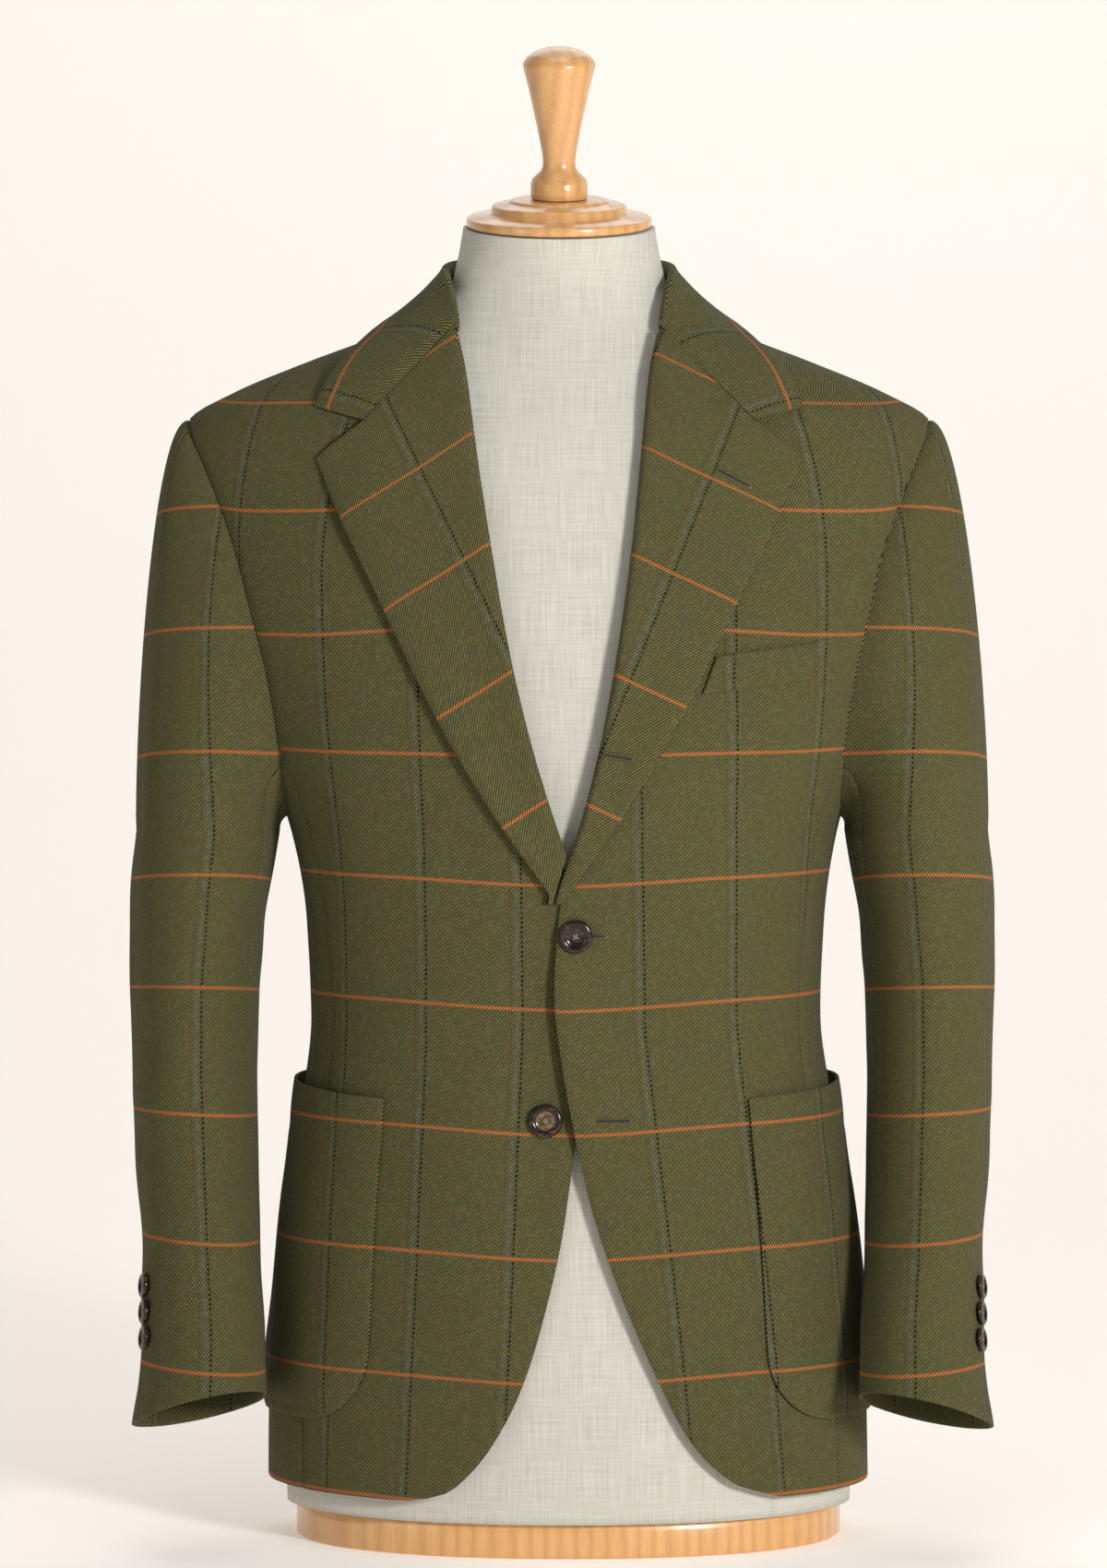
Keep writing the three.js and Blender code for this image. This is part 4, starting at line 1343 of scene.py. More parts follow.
LAPEL_GRAIN = {
    Side.LEFT: LapelGrain(22, 25, -166.9, Curve([
        (345, -1.1), (432, 0), (510.5, 1), (581, 2), (644, 3), (699, 4), (755, 5)])),
    Side.RIGHT: LapelGrain(-26, -33, 215.6, Curve([
        (315, -1.1), (399.5, 0), (476.5, 1), (549, 2), (611.7, 3), (667, 4), (722, 5)])),
}


@dataclass
class Lapel(Cloth):
    """A lapel, turned back at the roll line; its grain runs along its outer edge."""

    stand: float = 1.0
    rows: int = 90
    rise: float = 3.6
    bead_drop: float = 3.4
    places: tuple[float, ...] = (-1.0, -0.75, -0.5, -0.25) + tuple(shares(26))

    @property
    def node(self) -> str:
        """Name of the model's node that this piece stands for."""
        return f"lapel_{self.side.word}"

    def inner_edge(self, height: float) -> float:
        """Where the rolled edge stands.

        Args:
            height: height on the roll line.

        Returns:
            Distance from the centre plane, clear of the other front.
        """
        roll = FRONT_EDGE[self.side](height) - FOLD_BEAD
        if self.side is Side.LEFT:
            return roll
        return max(roll, FOLD_BEAD + 1.5 - FRONT_EDGE[Side.LEFT](height))

    def net(self) -> Grid:
        """Rows of points from the roll line's foot to the gorge."""
        return [[self.spot((i / self.rows) ** 1.1, place) for place in self.places]
                for i in range(self.rows + 1)]

    def spot(self, up: float, place: float) -> tuple[Vector, tuple[float, float]]:
        """Point of the lapel.

        Args:
            up: share of the way up the roll line.
            place: share of the way to the outer edge, negative round the rolled edge.

        Returns:
            The point and its place in the weave.
        """
        share, bead = max(place, 0.0), max(-place, 0.0) * RIGHT_ANGLE
        roll_height = mix(BREAK + 2, GORGE, up)
        edge_height = mix(BREAK + 2, LAPEL_TIP[1], up)
        dip = mix(GORGE, LAPEL_TIP[1], share) - gorge(self.side, share)[1]
        height = mix(roll_height, edge_height, share) - dip * up**6 - 0.3 * up
        start = self.inner_edge(roll_height)
        least = start + mix(1.2, 2.0, ease(0, 0.1, up)) * FOLD_BEAD
        across = mix(start + FOLD_BEAD, max(LAPEL_EDGE(edge_height), least), share)
        x = self.side.value * (across - FOLD_BEAD * math.sin(bead))
        lift = self.lift(up, share) - self.bead_drop * (1 - math.cos(bead))
        lift += 1.9 * bump(share, 0.0, 0.22) * ease(0, 0.25, up) * (1 - bead / RIGHT_ANGLE)
        lift *= mix(0.25, 1.0, ease(0, 0.1, up))
        point = BODY.lifted(BODY.turn_at_x(x, height), height, lift)
        return point, LAPEL_GRAIN[self.side].place(x, height)

    def lift(self, up: float, share: float) -> float:
        """How far the lapel's face stands out from the body.

        Args:
            up: share of the way up the roll line.
            share: share of the way to the outer edge.

        Returns:
            The distance in millimetres.
        """
        crown = math.sin(math.pi * share)
        turned_in = 1.1 * ease(0.93, 1.0, share)
        edge = ease(0.35, 1, share) * ease(0.04, 0.22, up) * (1 - ease(0.84, 0.98, up))
        return self.rise + crown - turned_in + self.stand * edge


@dataclass
class Collar(Cloth):
    """The collar: a stand round the neck, a fold, and a fall to the notches."""

    columns: int = 168
    falls: int = 26
    end_group: float = 9.0
    edge_row: float = 9.5
    window: int = 14

    @property
    def node(self) -> str:
        """Name of the model's node that this piece stands for."""
        return "collar"

    def end(self, side: Side, share: float) -> tuple[float, float]:
        """Place along the collar's front end: the gorge, then the notch's upper side.

        Args:
            side: side of the wearer.
            share: share of the way from the neck to the collar's corner.

        Returns:
            Unsigned turn and height.
        """
        x, height = gorge(side, min(share, NOTCH_SHARE))
        past = max(share - NOTCH_SHARE, 0) / (1 - NOTCH_SHARE)
        x, height = mix(x, COLLAR_CORNER[0], past), mix(height, COLLAR_CORNER[1], past) + 0.3
        return side.value * BODY.turn_at_x(side.value * x, height), height

    def net(self) -> Grid:
        """Rows of points of the outer face."""
        at = {
            name: Curve([(s.station, getattr(s, name)) for s in COLLAR_STATIONS])
            for name in ("seam_turn", "seam", "fold_turn", "fold", "edge_turn", "edge")
        }
        strips = []
        for t in shares(self.columns):
            station = 1 - 2 * t
            side = Side.RIGHT if station < 0 else Side.LEFT
            row = {name: curve(abs(station)) for name, curve in at.items()}
            strips.append(self.strip(side, abs(station), row))
        grid = [list(row) for row in zip(*strips)]
        self.lay_weave(grid)
        return grid

    def lay_weave(self, grid: Grid) -> None:
        """Lays the weave by the fall's outer edge: lines along it, groups square to it.

        Args:
            grid: the collar's points, whose places in the weave are worked out here.
        """
        edge = [point for point, _ in grid[0]]
        steps = [0.0]
        for a, b in zip(edge, edge[1:]):
            steps.append(steps[-1] + (b - a).length)
        middle = steps[-1] / 2
        groups = round((middle - self.end_group) / (PANE_WIDTH / 2))
        stretch = (groups * PANE_WIDTH / 2 + self.end_group) / middle
        for j, point in enumerate(edge):
            after, before = edge[min(j + self.window, len(edge) - 1)], edge[max(j - self.window, 0)]
            way = (after - before).normalized()
            for row in grid[:self.falls + 1]:
                away = row[j][0] - point
                along = steps[j] + away.dot(way)
                up = (away - way * away.dot(way)).length - self.edge_row
                row[j] = (row[j][0], ((middle - along) * stretch - groups * PANE_WIDTH / 2, up))
            across, fold = grid[self.falls][j][1]
            for row in grid[self.falls + 1:]:
                row[j] = (row[j][0], (across, fold + row[j][1][1]))

    def strip(self, side: Side, station: float, row: dict[str, float]) -> list:
        """One crosswise line of the collar, from the fall's edge over the fold to the neck seam.

        Args:
            side: side of the wearer.
            station: place round the neck, 0 at the back and 1 at the front end.
            row: turns and heights of the seam, the fold and the edge there.

        Returns:
            Points, each with a weave place that counts from the fold.
        """
        blend = ease(0.8, 1, station)
        lift = LAPEL_LIFT + 2.2 * (1 - ease(0.88, 0.98, station)) + CLOTH + 0.2
        made = []
        for share in [1 - t for t in shares(self.falls)]:
            end_turn, end_height = self.end(side, share)
            fallen = math.radians(mix(row["fold_turn"], row["edge_turn"], share))
            turn = mix(fallen, end_turn, blend)
            height = mix(mix(row["fold"], row["edge"], share), end_height, blend)
            crown = 0.9 * math.sin(math.pi * share) + 0.3 * (1 - share) - ease(0.93, 1.0, share)
            point = BODY.lifted(side.value * turn, height, lift + crown)
            made.append((point, (0.0, 0.0)))
        fold_turn = side.value * math.radians(row["fold_turn"])
        for rise, out in ((1.3, lift), (CLOTH, 0.5 * lift), (CLOTH - 0.2, 0.15 * lift)):
            made.append((BODY.lifted(fold_turn, row["fold"] + rise, out), (0.0, rise)))
        for share in (0.9, 0.7, 0.5, 0.3, 0.0):
            turn = math.radians(mix(row["seam_turn"], row["fold_turn"], share))
            point = BODY.lifted(side.value * turn, mix(row["seam"], row["fold"], share), -CLOTH)
            made.append((point, (0.0, 2 * CLOTH + 25 * (1 - share))))
        return made


@dataclass(frozen=True)
class Fold:
    """A crease on a sleeve: turn in degrees from the outer side (90 is the front)."""

    height: float
    turn: float
    depth: float
    reach: float
    spread: float
    lean: float = 0.0


SLEEVE_FOLDS = (
    Fold(520, 62, 2.6, 75, 16),
    Fold(392, 168, -3.5, 22, 34),
    Fold(330, 48, -2.0, 60, 20),
    Fold(205, 120, -2.2, 34, 30),
    Fold(195, 15, -2.5, 26, 26),
    Fold(84, 0, 4.0, 26, 32),
    Fold(500, 40, 1.5, 150, 8),
    Fold(500, 26, -1.8, 150, 9),
    Fold(610, 35, 1.2, 60, 12),
    Fold(452, 100, -1.8, 14, 30, 0.35),
    Fold(425, 95, 1.4, 12, 34, 0.35),
    Fold(300, 75, -1.6, 10, 34, -0.3),
    Fold(262, 60, 1.5, 11, 40, -0.35),
    Fold(236, 70, -1.4, 10, 36, -0.35),
    Fold(152, 80, 1.2, 14, 40, 0.3),
)


def sleeve_fold(turn: float, height: float) -> float:
    """Sum of a sleeve's creases.

    Args:
        turn: angle from the outer side, in degrees.
        height: height on the sleeve.

    Returns:
        How far the cloth stands out.
    """
    total = 0.0
    for fold in SLEEVE_FOLDS:
        away = (turn - fold.turn + 180) % 360 - 180
        far = (height - fold.height - fold.lean * away) / fold.reach
        total += fold.depth * math.exp(-(far**2) - (away / fold.spread) ** 2)
    return total


class SleeveShape:
    """A sleeve's outer face, from its seam in the armhole to the cuff."""

    TOP = SLEEVE_RINGS[-1].height
    CUFF = SLEEVE_RINGS[0].height
    EASE = 0.7
    LEFT_SWING, LEFT_SHIFT = 8.0, 4.0
    SEAM_TOPS = (math.radians(138), math.radians(-118))
    SEAM_CUFFS = (math.radians(164), math.radians(8))

    def __init__(self, side: Side) -> None:
        """Makes a curve of each ring size over the height.

        Args:
            side: side of the wearer.
        """
        self.side = side
        self.value = side.value
        self.at = {
            name: Curve([(r.height, getattr(r, name)) for r in SLEEVE_RINGS])
            for name in ("out", "half", "ahead", "depth", "tilt", "slant")
        }

    def ring(self, angle: float, height: float, out: float = 0.0) -> Vector:
        """Point of the hanging part.

        Args:
            angle: 0 at the outer side, growing to the front.
            height: height of the ring's middle.
            out: distance outwards.

        Returns:
            The point in millimetres.
        """
        swing, shift = 0.0, 0.0
        if self.side is Side.LEFT:
            swing = self.LEFT_SWING * ease(-330, -self.CUFF, -height)
            shift = self.LEFT_SHIFT
        half = self.at["half"](height) + sleeve_fold(math.degrees(angle), height) + out
        tilt = math.radians(self.at["tilt"](height))
        ahead = (self.at["depth"](height) + out) * math.sin(angle)
        beside = half * math.cos(angle)
        return Vector((
            self.value * (self.at["out"](height) + beside) + shift,
            -(self.at["ahead"](height) + swing) - ahead * math.cos(tilt),
            height + ahead * math.sin(tilt) - beside * self.at["slant"](height),
        ))

    def head(self, angle: float, t: float, out: float = 0.0) -> Vector:
        """Point between the armhole seam and the hanging part.

        Args:
            angle: 0 at the outer side, growing to the front.
            t: share of the way down.
            out: distance outwards at the lower end.

        Returns:
            The point in millimetres.
        """
        wrapped = angle - math.tau if angle > math.pi else angle
        turn, height = armhole(wrapped, self.EASE)
        relief = body_relief(self.side, turn, height)
        start = BODY.lifted(self.value * turn, height, relief - CLOTH / 2)
        end = self.ring(angle, self.TOP, out)
        chord = (end - start).length
        leave = Vector((self.value, -0.5 * math.sin(angle), 0.35 * math.cos(angle))).normalized()
        leave *= min(70, 0.9 * chord + 4)
        arrive = Vector((0, 0, -chord))
        return (start * ((1 + 2 * t) * (1 - t) ** 2) + leave * (t * (1 - t) ** 2)
                + end * (t * t * (3 - 2 * t)) + arrive * (t * t * (t - 1)))

    def surface(self, angle: float, height: float) -> tuple[Vector, Vector, Vector]:
        """A place on the hanging part.

        Args:
            angle: 0 at the outer side, growing to the front.
            height: height of the ring's middle.

        Returns:
            The point, the way its face looks, and the way down the sleeve.
        """
        here = self.ring(angle, height)
        down = self.ring(angle, height - 1) - here
        round_it = self.ring(angle + 0.02, height) - here
        return here, (round_it.cross(down) * self.value).normalized(), down.normalized()


@dataclass
class SleevePiece(Cloth):
    """The upper or under half of a sleeve."""

    upper: bool = True
    columns: int = 60
    head_rows: int = 34
    arm_rows: int = 84
    group: float = 97.0
    lean: float = 0.05
    head_share: float = 7 / 22

    @property
    def node(self) -> str:
        """Name of the model's node that this piece stands for."""
        return f"sleeve_{'upper' if self.upper else 'under'}_{self.side.word}"

    def net(self) -> Grid:
        """Rows of points of the outer face."""
        shape = SleeveShape(self.side)
        stages = [(t**1.25, shape.TOP) for t in shares(self.head_rows)[:-1]]
        stages += [(1.0, mix(shape.TOP, shape.CUFF, t)) for t in shares(self.arm_rows)]
        grid: Grid = []
        for t, height in stages:
            low, high = self.seams(shape, t, height)
            row = []
            for across in shares(self.columns):
                angle = mix(low + 0.003, high - 0.003, across)
                dip = seam_dip((angle - low) * 45) + seam_dip((high - angle) * 45)
                point = self.spot(shape, angle, t, height, dip)
                row.append((point, (angle, height)))
            grid.append(row)
        self.lay_weave(grid)
        tucked = [(point + self.tuck(point), place) for point, place in grid[0]]
        return [tucked] + grid

    def seams(self, shape: SleeveShape, t: float, height: float) -> tuple[float, float]:
        """Angles of the seams on both sides of the piece, straight along the sleeve's own rows.

        Args:
            shape: the sleeve.
            t: share of the way down the sleeve head.
            height: height on the hanging part.

        Returns:
            The lower and the higher angle.
        """
        hung = (shape.TOP - height) / (shape.TOP - shape.CUFF)
        down = (self.head_share * t if t < 1 else mix(self.head_share, 1, hung))
        front = mix(shape.SEAM_TOPS[0], shape.SEAM_CUFFS[0], down)
        back = mix(shape.SEAM_TOPS[1], shape.SEAM_CUFFS[1], ease(0.1, 1, down))
        return (back, front) if self.upper else (front, back + math.tau)

    def spot(self, shape: SleeveShape, angle: float, t: float, height: float,
             dip: float) -> Vector:
        """Point of the sleeve, with the rope and pucker of its head or the flow of its arm.

        Args:
            shape: the sleeve.
            angle: 0 at the outer side, growing to the front.
            t: share of the way down the sleeve head.
            height: height on the hanging part.
            dip: distance outwards beside a seam.

        Returns:
            The point in millimetres.
        """
        outer = math.cos(angle)
        if t < 1:
            rope = 2.4 * bump(t, 0.13, 0.09) * ease(-0.1, 0.6, outer)
            pucker = 0.35 * math.sin(angle * 26) * bump(t, 0.1, 0.1) * ease(0, 0.7, outer)
            return shape.head(angle, t, dip + rope + pucker)
        flow = noise.noise(Vector((outer * 2, math.sin(angle) * 2, height / 60)))
        return shape.ring(angle, height, dip + 0.8 * flow)

    def tuck(self, point: Vector) -> Vector:
        """The way in which the seam allowance turns at a point of the armhole."""
        inward = Vector((-self.side.value, 0, -0.4 if point.z > ARMHOLE_MIDDLE else 0.4))
        return inward.normalized() * 5

    def lay_weave(self, grid: Grid) -> None:
        """Lays the weave: one group runs down the front, the lines lie level round the arm.

        Args:
            grid: points with angle and height, which give way to the places in the weave.
        """
        first = self.head_rows
        for row in grid[first:]:
            for j, (point, (angle, height)) in enumerate(row):
                across = -self.side.value * self.arc(angle, height)
                row[j] = (point, (across, self.rise(point, angle)))
        for i in range(first - 1, -1, -1):
            for j, (point, (angle, _)) in enumerate(grid[i]):
                next_row = grid[i + 1]
                below, place = next_row[j]
                left, right = next_row[max(j - 1, 0)][0], next_row[min(j + 1, self.columns)][0]
                level = (right - left).cross(point - below).cross(UP).normalized()
                way = math.copysign(1, level.dot(right - left)) * -self.side.value
                across = place[0] + way * (point - below).dot(level)
                across -= self.side.value * self.lean * (point - below).z
                grid[i][j] = (point, (across, self.rise(point, angle)))

    def arc(self, angle: float, height: float) -> float:
        """Length round the sleeve from the group that faces front.

        Args:
            angle: angle of the place.
            height: height of the ring.

        Returns:
            The length in millimetres.
        """
        shape = SleeveShape(self.side)
        half, depth = shape.at["half"](height), shape.at["depth"](height)
        start = math.radians(self.group)
        steps = 16
        return sum(
            math.hypot(half * math.sin(a), depth * math.cos(a)) * (angle - start) / steps
            for a in (mix(start, angle, (k + 0.5) / steps) for k in range(steps)))

    def rise(self, point: Vector, angle: float) -> float:
        """Place up the cloth.

        Args:
            point: point of the sleeve.
            angle: its angle, since the lines don't lie quite level round the arm.

        Returns:
            Millimetres up from a horizontal line.
        """
        high = ease(200, 420, point.z)
        lift = mix(2.2, 7.5, high) * math.sin(angle) + 3 * (1 - high) * math.cos(angle)
        return point.z + 8 * ease(340, 420, point.z) - lift - PANE_START


@dataclass
class PatchPocket(Cloth):
    """A patch pocket on the hip, with rounded lower corners and a mouth that stands away."""

    top: float = 284
    bottom: float = 82
    inner: float = 119
    width: float = 152
    corner: float = 46
    hip: float = 165
    columns: int = 30
    corner_rows: int = 16
    upper_rows: int = 22
    slope: float = 7
    mouth: float = 3.5
    stitch_inset: float = 6.5
    band: float = 28

    @property
    def node(self) -> str:
        """Name of the model's node that this piece stands for."""
        return f"patch_pocket_{self.side.word}"

    def rows(self) -> list[tuple[float, float]]:
        """Height above the bottom, and how far the corner cuts in, of each row."""
        turns = [t * RIGHT_ANGLE for t in shares(self.corner_rows)]
        made = [(self.corner * (1 - math.cos(turn)), self.corner * (1 - math.sin(turn)))
                for turn in turns]
        full = self.top - self.bottom
        return made + [(mix(self.corner, full, t), 0.0) for t in shares(self.upper_rows)[1:]]

    def net(self) -> Grid:
        """Rows of points from the bottom to the mouth."""
        return [[self.spot(rise, cut, across) for across in shares(self.columns)]
                for rise, cut in self.rows()]

    def spot(self, rise: float, cut: float, across: float) -> tuple[Vector, tuple[float, float]]:
        """Point of the pocket.

        Args:
            rise: height above the bottom.
            cut: how far the rounded corner cuts in.
            across: share of the way from the front edge to the back edge.

        Returns:
            The point and its place in the weave.
        """
        value = self.side.value
        full = self.top - self.bottom
        up = rise / full
        low, high = cut, self.width - cut * 0.8
        place = mix(low, high, across)
        turn = value * BODY.turn_at_x(value * self.inner + 5, 200) + place / self.hip
        height = self.bottom + rise + self.slope * up * across
        edge = min(place - low, high - place, rise)
        relief = body_relief(self.side, turn, height) * 0.8
        lift = 0.6 + CLOTH + self.mouth * across * ease(0.7, 1, up)
        lift += 1.6 * ease(2, 22, edge) * (1 - 0.4 * up)
        lift += 0.9 * ease(0, 3.0, edge) - 0.8 * bump(edge, self.stitch_inset, 1.3)
        lift -= 0.35 * bump(full - rise, self.band, 1.4)
        point = BODY.lifted(value * turn, height, relief + lift)
        return point, cloth_place(self.side, value * turn, height)


@dataclass
class BreastWelt(Cloth):
    """The welt of the breast pocket."""

    inner: float = 87
    outer: float = 157
    low: float = 535
    rise: float = 9
    depth: float = 24
    offset: float = 2.5

    @property
    def node(self) -> str:
        """Name of the model's node that this piece stands for."""
        return "breast_welt"

    def net(self) -> Grid:
        """Rows of points of the outer face."""
        return [[self.spot(up, across) for across in shares(36)] for up in shares(14)]

    def spot(self, up: float, across: float) -> tuple[Vector, tuple[float, float]]:
        """Point of the welt.

        Args:
            up: share of the way up.
            across: share of the way outwards.

        Returns:
            The point and its place in the weave.
        """
        height = self.low + self.rise * across + self.depth * up
        x = mix(self.inner + 9 * up, self.outer + 4 * up, across)
        edge = min(across * 70, (1 - across) * 70, up * 24, (1 - up) * 30)
        lift = 2.2 + 0.8 * ease(0, 3, edge) - 0.9 * (1 - ease(0, 1.2, up * 24))
        turn = BODY.turn_at_x(x, height)
        lift += body_relief(Side.LEFT, turn, height)
        beside, above = cloth_place(Side.LEFT, turn, height)
        return BODY.lifted(turn, height, lift), (beside + self.offset, above)


def frame_on(point: Vector, normal: Vector, up: Vector) -> Matrix:
    """Frame at a point: X across, Y as near up as it can be, Z along the normal.

    Args:
        point: origin in millimetres.
        normal: the way the surface looks.
        up: the way that Y should point.

    Returns:
        The frame, in metres.
    """
    across = up.cross(normal).normalized()
    top = normal.cross(across).normalized()
    rotation = Matrix((across, top, normal)).transposed().to_4x4()
    return Matrix.Translation(point * MM) @ rotation


@dataclass
class Button:
    """A four-hole horn button, sewn on with crossed thread."""

    node: str
    place: Matrix
    radius: float
    thickness: float
    tilt: float = 0.0
    core: bpy.types.Material = FINISH.horn
    hole_reach: float = 0.2
    hole_radius: float = 0.085
    core_reach: float = 0.6

    def profile(self) -> list[tuple[float, float]]:
        """Radius and height from the middle of the face round to the middle of the back."""
        shares_of_size = (
            (0, 0.62), (0.42, 0.6), (0.56, 0.68), (0.66, 0.9), (0.78, 1), (0.92, 0.93),
            (0.99, 0.72), (1, 0.5), (0.96, 0.24), (0.84, 0.06), (0.6, 0), (0, 0),
        )
        return [(self.radius * out, self.thickness * up) for out, up in shares_of_size]

    def build(self) -> bpy.types.Object:
        """Makes the button, with discs of painted shade for its holes, and its thread."""
        bm = spun(self.profile(), 48)
        for i in range(4):
            self.lay_hole_shade(bm, math.pi / 4 + i * RIGHT_ANGLE)
        for face in bm.faces:
            inside = face.calc_center_median().xy.length < self.radius * self.core_reach * MM
            if face.material_index == 0 and inside:
                face.material_index = 2
        bm.transform(self.turned_place())
        piece = mesh_object(f"{self.node}_horn", bm)
        # Material slots: horn, the painted shade of the holes, and the horn of the core
        for finish in (FINISH.horn, FINISH.slit, self.core):
            piece.data.materials.append(finish)
        declare(piece, self.node)
        self.sew()
        return piece

    def turned_place(self) -> Matrix:
        """Frame of the button, turned on its thread."""
        return self.place @ Matrix.Rotation(self.tilt, 4, "Z")

    def lay_hole_shade(self, bm: bmesh.types.BMesh, turn: float) -> None:
        """Lays a dark disc of painted shade on the face where a hole stands; no hole is cut.

        Args:
            bm: the button, round its own axis.
            turn: turn of the hole round that axis.
        """
        reach = self.radius * self.hole_reach
        top = self.thickness * 0.63
        middle = Vector((reach * math.cos(turn), reach * math.sin(turn), top)) * MM
        ring = bmesh.ops.create_circle(
            bm, segments=14, radius=self.radius * self.hole_radius * MM, cap_ends=True,
            matrix=Matrix.Translation(middle))
        ring["verts"][0].link_faces[0].material_index = 1

    def sew(self) -> None:
        """Lays the thread crosswise between the holes."""
        reach, top = self.radius * self.hole_reach, self.thickness * 0.66
        strands = []
        for i in range(2):
            turn = math.pi / 4 + i * RIGHT_ANGLE
            end = Vector((math.cos(turn), math.sin(turn), 0)) * reach
            low, high = UP * (top - 0.3), UP * (top + 0.35 + 0.2 * i)
            for offset in (-0.35, 0.0, 0.35):
                side = Vector((-math.sin(turn), math.cos(turn), 0)) * offset
                strands.append([side - end + low, side + high, side + end + low])
        made = strand_object(f"{self.node}_thread", strands, 0.2, FINISH.button_thread,
                             self.turned_place())
        declare(made)


def strand_object(name: str, strands: Sequence[Sequence[Vector]], radius: float,
                  finish: bpy.types.Material,
                  place: Matrix = Matrix.Identity(4)) -> bpy.types.Object:
    """Round threads through points given in millimetres.

    Args:
        name: object name.
        strands: the points of each thread.
        radius: radius of a thread in millimetres.
        finish: material of the threads.
        place: frame in which the points stand.

    Returns:
        The object, at the origin.
    """
    curve = bpy.data.curves.new(name, "CURVE")
    curve.dimensions = "3D"
    curve.bevel_depth = radius * MM
    curve.bevel_resolution = 2
    curve.resolution_u = 6
    for strand in strands:
        spline = curve.splines.new("BEZIER")
        spline.bezier_points.add(len(strand) - 1)
        for knot, point in zip(spline.bezier_points, strand):
            knot.co = place @ (point * MM)
            knot.handle_left_type = knot.handle_right_type = "AUTO"
    curve.materials.append(finish)
    return linked(name, curve)


@dataclass
class Buttonhole:
    """A worked buttonhole: a near-black strand of painted shade along the opening, between two rows
    of close thread, round at the outer end.
    """

    name: str
    place: Callable[[float, float, float], Vector]
    length: float
    half: float = 1.35
    open: bool = True
    pitch: float = 0.62
    end_stitches: int = 8

    def build(self) -> None:
        """Makes the painted shade along the opening and the stitching along the cloth's surface."""
        half = self.length / 2
        slit = [self.place(mix(-half, half, t), 0.0, 0.3) for t in shares(8)]
        # A near-black strand of painted shade stands for the shadowed opening; a closed hole gets a
        # thinner one
        width = 0.55 if self.open else 0.4
        dark = strand_object(f"{self.name}_slit", [slit], width, FINISH.slit)
        stitches = []
        for t in shares(round(self.length / self.pitch)):
            along = mix(-half, half, t)
            for way in (-1, 1):
                spots = ((0.65, 0.3), (0.9, 0.55), (self.half, 0.1))
                stitches.append([self.place(along, way * across, rise) for across, rise in spots])
        for t in shares(self.end_stitches):
            turn = math.pi * t - RIGHT_ANGLE
            cosine, sine = math.cos(turn), math.sin(turn)
            stitches.append([self.place(half + reach * cosine, reach * sine, rise)
                             for reach, rise in ((0.3, 0.4), (self.half, 0.15))])
        work = strand_object(f"{self.name}_stitches", stitches, 0.27, FINISH.hole_thread)
        declare(dark)
        declare(work)


def chest_hole(side: Side, x: float, height: float, lean: float,
               out: float) -> Callable[[float, float, float], Vector]:
    """Surface frame for a buttonhole on the fronts or lapels.

    Args:
        side: side of the wearer.
        x: distance of the hole's middle from the centre plane.
        height: height of the hole's middle.
        lean: angle of the hole from the level.
        out: how far the cloth there stands out from the body; creases count only near it.

    Returns:
        A function from places along, across and above the hole to a point.
    """
    def place(along: float, across: float, rise: float) -> Vector:
        """Point of the cloth.

        Args:
            along: distance along the hole from its middle.
            across: distance across it.
            rise: distance above the cloth.

        Returns:
            The point in millimetres.
        """
        px = x + along * math.cos(lean) - across * math.sin(lean)
        pz = height + along * math.sin(lean) + across * math.cos(lean)
        turn = BODY.turn_at_x(px, pz)
        relief = 0.0
        if out < 2:
            relief = body_relief(side, abs(turn), pz) + front_curl(side, px, pz)
        return BODY.lifted(turn, pz, out + rise + relief - inset(side, px, pz))

    return place


@dataclass
class FormCover:
    """The linen form: torso and neck in one smooth skin."""

    spokes: int = 128
    shoulder: float = 788.0
    neck_half: float = 60.5
    neck_back: float = 52

    def build(self) -> bpy.types.Object:
        """Makes the linen form."""
        turns = round_turns(self.spokes)
        grid: Grid = []
        for t in shares(130):
            height = mix(BOARD_TOP + 0.3, self.shoulder, t)
            grid.append([(FORM.point(turn, height), (FORM.arc(turn, height), height))
                         for turn in turns])
        neck = [(share, 0.0) for share in shares(22)[1:]] + [(1.0, 2.0), (1.0, 25.0)]
        for share, inward in neck:
            grid.append([self.neck_spot(turn, share, inward) for turn in turns])
        piece = grid_mesh("form_cover", grid)
        close_seam_and_ends(piece)
        piece.data.materials.append(FINISH.linen)
        declare(piece, "form_torso")
        return piece

    def neck_spot(self, turn: float, share: float,
                  inward: float) -> tuple[Vector, tuple[float, float]]:
        """Point of the neck.

        Args:
            turn: turn round the form.
            share: share of the way up to the neck's tilted top.
            inward: distance in from the top's edge.

        Returns:
            The point and its place in the weave.
        """
        low = FORM.point(turn, self.shoulder + 7 * share)
        depth = (self.neck_half if math.cos(turn) > 0 else self.neck_back) - inward
        high = Vector(((self.neck_half - inward) * math.sin(turn), -depth * math.cos(turn), 0))
        high.rotate(Matrix.Rotation(NECK_TILT, 3, "X"))
        high += Vector((0, NECK_CENTRE_Y, NECK_TOP - 0.3))
        point = low.lerp(high, share)
        return point, (FORM.arc(turn, self.shoulder), point.z + inward)


def round_turns(count: int) -> list[float]:
    """Turns all round, from the centre back."""
    return [mix(-math.pi, math.pi, t) for t in shares(count)]


